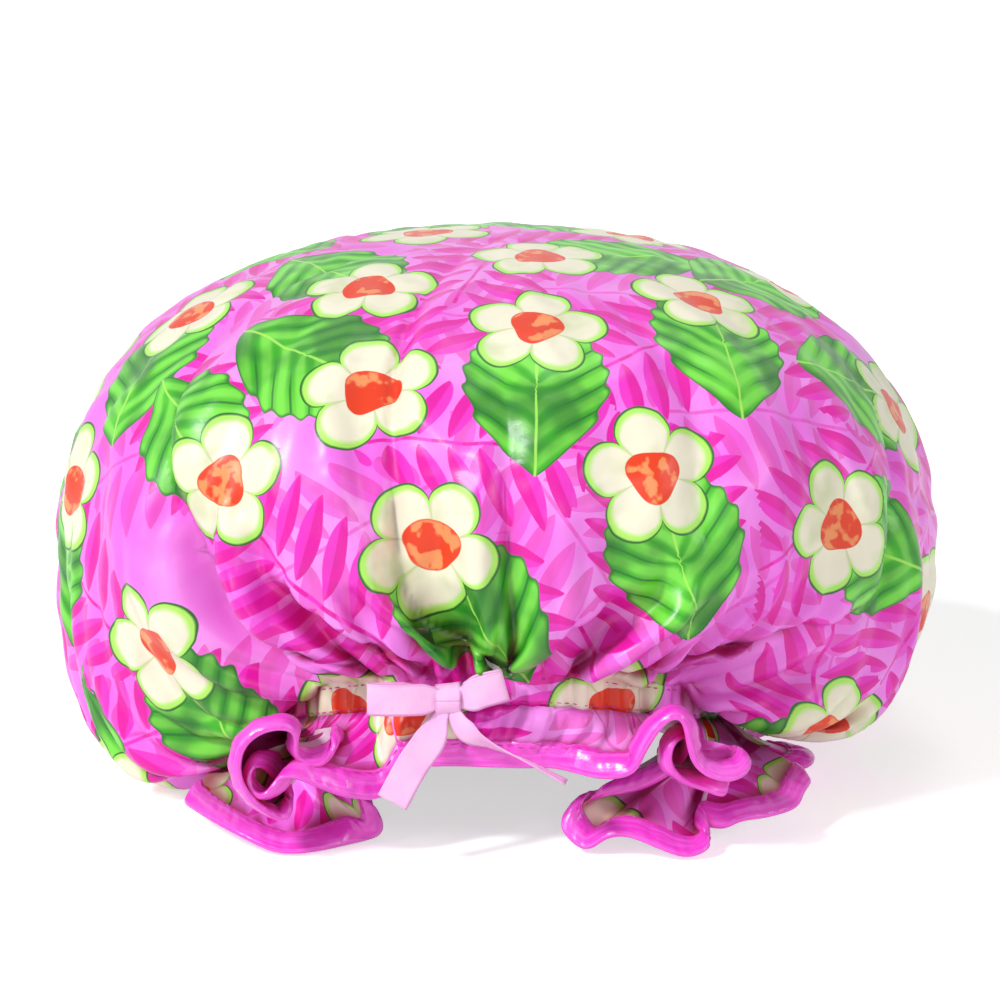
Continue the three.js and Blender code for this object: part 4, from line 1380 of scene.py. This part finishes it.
class SHOWERCAP_OT_bow(bpy.types.Operator):
    """Ties the ribbon bow: two flat loops, a knot and two tails"""

    bl_idname = "shower_cap.bow"
    bl_label = "Bow"

    def execute(self, context):
        knot = np.array((knot_low + knot_high) / 2)
        loop_steps, ring_steps, tail_steps = 60, 49, 40
        for name, side, reach, lift, node in (
            ("left_bow_loop", -1, 24, 0.0, "bow_loop_left"),
            ("right_bow_loop", 1, 17, 4.5, "bow_loop_right"),
        ):
            shares = [
                (2, -1.6, 0), (6, -3.0, 0.15), (0.55 * reach, -4.0, 0.5), (0.9 * reach, -3.9, 0.9),
                (1.02 * reach, -2.8, 1), (0.9 * reach, -1.8, 0.9), (0.5 * reach, -1.0, 0.5), (3, 0.6, 0),
            ]
            places = [knot + np.array([side * x, y, rise * lift + 0.6]) * MM for x, y, rise in shares]
            path = bend(places, loop_steps)
            tilt = math.atan2(lift, reach) * side
            width = np.array([-math.sin(tilt), 0, math.cos(tilt)])
            at = np.linspace(0, 1, len(path))
            pinch = 0.62 + 0.38 * smoothstep(np.minimum(at, 1 - at), 0.02, 0.2)
            loop = ribbon_piece(name, path, np.tile(width, (len(path), 1)), pinch)
            dress(loop, "cap", "bow_ribbon", node)
            ribbon_sheet(path)
        turns = np.linspace(0, TURN, ring_steps)
        ring = [knot + np.array([0, -3.1 * math.cos(turn), 4.6 * math.sin(turn)]) * MM for turn in turns]
        widths, pinch = np.tile([1.0, 0, 0.12], (len(ring), 1)), np.full(len(ring), 0.78)
        wrap = ribbon_piece("bow_knot_wrap", ring, widths, pinch)
        dress(wrap, "cap", "bow_ribbon", "bow_knot")
        ribbon_sheet(ring)
        joints = {joint["child"]: np.array(joint["pos_m"]) for joint in frame["joints"]}
        tails = (
            ("left_ribbon_tail", "left_tail", "bow_tail_left",
             [(1.3, 0, 2.6), (-2.0, -1.6, -5.2), (-8, -6.3, -13), (-14, -9.6, -23.5)],
             [(1, 0, 0), (1, 0, -0.45), (1, 0, -0.55), (1, -0.1, -0.55)]),
            ("right_ribbon_tail", "right_tail", "bow_tail_right",
             [(-1.6, 0, 2.6), (2.4, -1.6, -3.2), (10, -4.2, -6.8), (21, -7.6, -11), (33, -9.8, -17)],
             [(1, -0.1, 0.1), (0.8, -0.5, 0.3), (0.3, -0.9, 0.3), (0.1, -1, 0.2), (0.1, -1, 0.1)]),
        )
        for name, body, node, places, widths in tails:
            path = bend([joints[body] + np.array(place) * MM for place in places], tail_steps)
            pinch = 0.44 + 0.56 * smoothstep(np.linspace(0, 1, tail_steps), 0, 0.4)
            tail = ribbon_piece(name, path, bend(widths, tail_steps), pinch)
            dress(tail, body, "bow_ribbon", node)
            ribbon_sheet(path)
        return {"FINISHED"}


def seen_ray(tree):
    """1 where the background is seen itself or in a gloss, 0 where it only lights the cap."""
    path = tree.nodes.new("ShaderNodeLightPath")
    seen = Term(tree, path.outputs["Is Camera Ray"]).most(Term(tree, path.outputs["Is Glossy Ray"]))
    return seen.most(Term(tree, path.outputs["Is Transmission Ray"]))


def looking(way):
    """The rotation of a camera or a lamp that looks along a direction."""
    return way.to_track_quat("-Z", "Y").to_euler()


class SHOWERCAP_OT_stage(bpy.types.Operator):
    """Sets the pale floor, the soft lights and the camera"""

    bl_idname = "shower_cap.stage"
    bl_label = "Stage"

    def execute(self, context):
        stage = settings().stage
        scene = context.scene
        scene.view_settings.view_transform = "Standard"
        tilt = math.radians(stage.elevation)
        camera = placed("camera", bpy.data.cameras.new("camera"))
        camera.data.lens = camera.data.sensor_width * stage.focal_share
        target = Vector((stage.aim_side, 0, stage.aim_height))
        camera.location = target + stage.distance * Vector((0, -math.cos(tilt), math.sin(tilt)))
        camera.rotation_euler = looking(target - camera.location)
        scene.camera = camera
        far = 4
        corners = [(-far, -far, 0), (far, -far, 0), (far, far, 0), (-far, far, 0)]
        floor = smooth_object("floor", corners, [(0, 1, 2, 3)], [])
        pale, tree, shader = new_material("pale_floor", 0.9)
        shader.inputs["Base Color"].default_value = linear((0.97, 0.97, 0.97))
        shader.inputs["Emission Color"].default_value = (1, 1, 1, 1)
        tree.links.new((seen_ray(tree) * 0.5 + 0.06).socket, shader.inputs["Emission Strength"])
        floor.data.materials.append(pale)
        sun = placed("sun", bpy.data.lights.new("sun", "SUN"))
        sun.data.energy = stage.sun
        sun.data.angle = math.radians(9)
        sun.rotation_euler = looking(Vector((0.85, 0.62, -0.95)))
        middle = Vector((0, 0, 0.08))
        for name, place, size, power in (
            ("left_softbox", (-0.9, -0.8, 0.6), 0.25, 1.8), ("right_softbox", (1.0, -0.6, 0.5), 0.25, 2.6),
            ("top_softbox", (0.1, 0.1, 1.1), 0.3, 1.2), ("front_softbox", (0.2, -1.4, 0.5), 0.25, 1.6),
        ):
            lamp = placed(name, bpy.data.lights.new(name, "AREA"))
            lamp.data.size = size
            lamp.data.energy = power
            lamp.location = place
            lamp.rotation_euler = looking(middle - lamp.location)
        world = scene.world or bpy.data.worlds.new("world")
        scene.world = world
        world.use_nodes = True
        tree = world.node_tree
        background = tree.nodes["Background"]
        background.inputs["Color"].default_value = (1, 1, 1, 1)
        strength = seen_ray(tree) * (1 - stage.ambient) + stage.ambient
        tree.links.new(strength.socket, background.inputs["Strength"])
        return {"FINISHED"}


class SHOWERCAP_PT_panel(bpy.types.Panel):
    """Lists the parts of the shower cap"""

    bl_idname = "SHOWERCAP_PT_panel"
    bl_label = "Shower Cap"
    bl_space_type = "VIEW_3D"
    bl_region_type = "UI"
    bl_category = "Shower Cap"

    def draw(self, context):
        for operator in OPERATORS:
            self.layout.operator(operator.bl_idname)


OPERATORS = (
    SHOWERCAP_OT_stage, SHOWERCAP_OT_crown, SHOWERCAP_OT_lining, SHOWERCAP_OT_frill,
    SHOWERCAP_OT_binding, SHOWERCAP_OT_casing, SHOWERCAP_OT_bow,
)
CLASSES = (
    CrownSettings, FrillSettings, RibbonSettings, ColourSettings, StageSettings, CapSettings,
    *OPERATORS, SHOWERCAP_PT_panel,
)


def register():
    for made in CLASSES:
        bpy.utils.register_class(made)
    bpy.types.Scene.shower_cap = PointerProperty(type=CapSettings)


def unregister():
    del bpy.types.Scene.shower_cap
    for made in reversed(CLASSES):
        bpy.utils.unregister_class(made)


def main():
    register()
    finishes.update(make_materials())
    bpy.ops.shower_cap.stage()
    bpy.ops.shower_cap.crown()
    bpy.ops.shower_cap.lining()
    bpy.ops.shower_cap.frill()
    bpy.ops.shower_cap.binding()
    bpy.ops.shower_cap.casing()
    bpy.ops.shower_cap.bow()


if __name__ == "__main__":
    main()
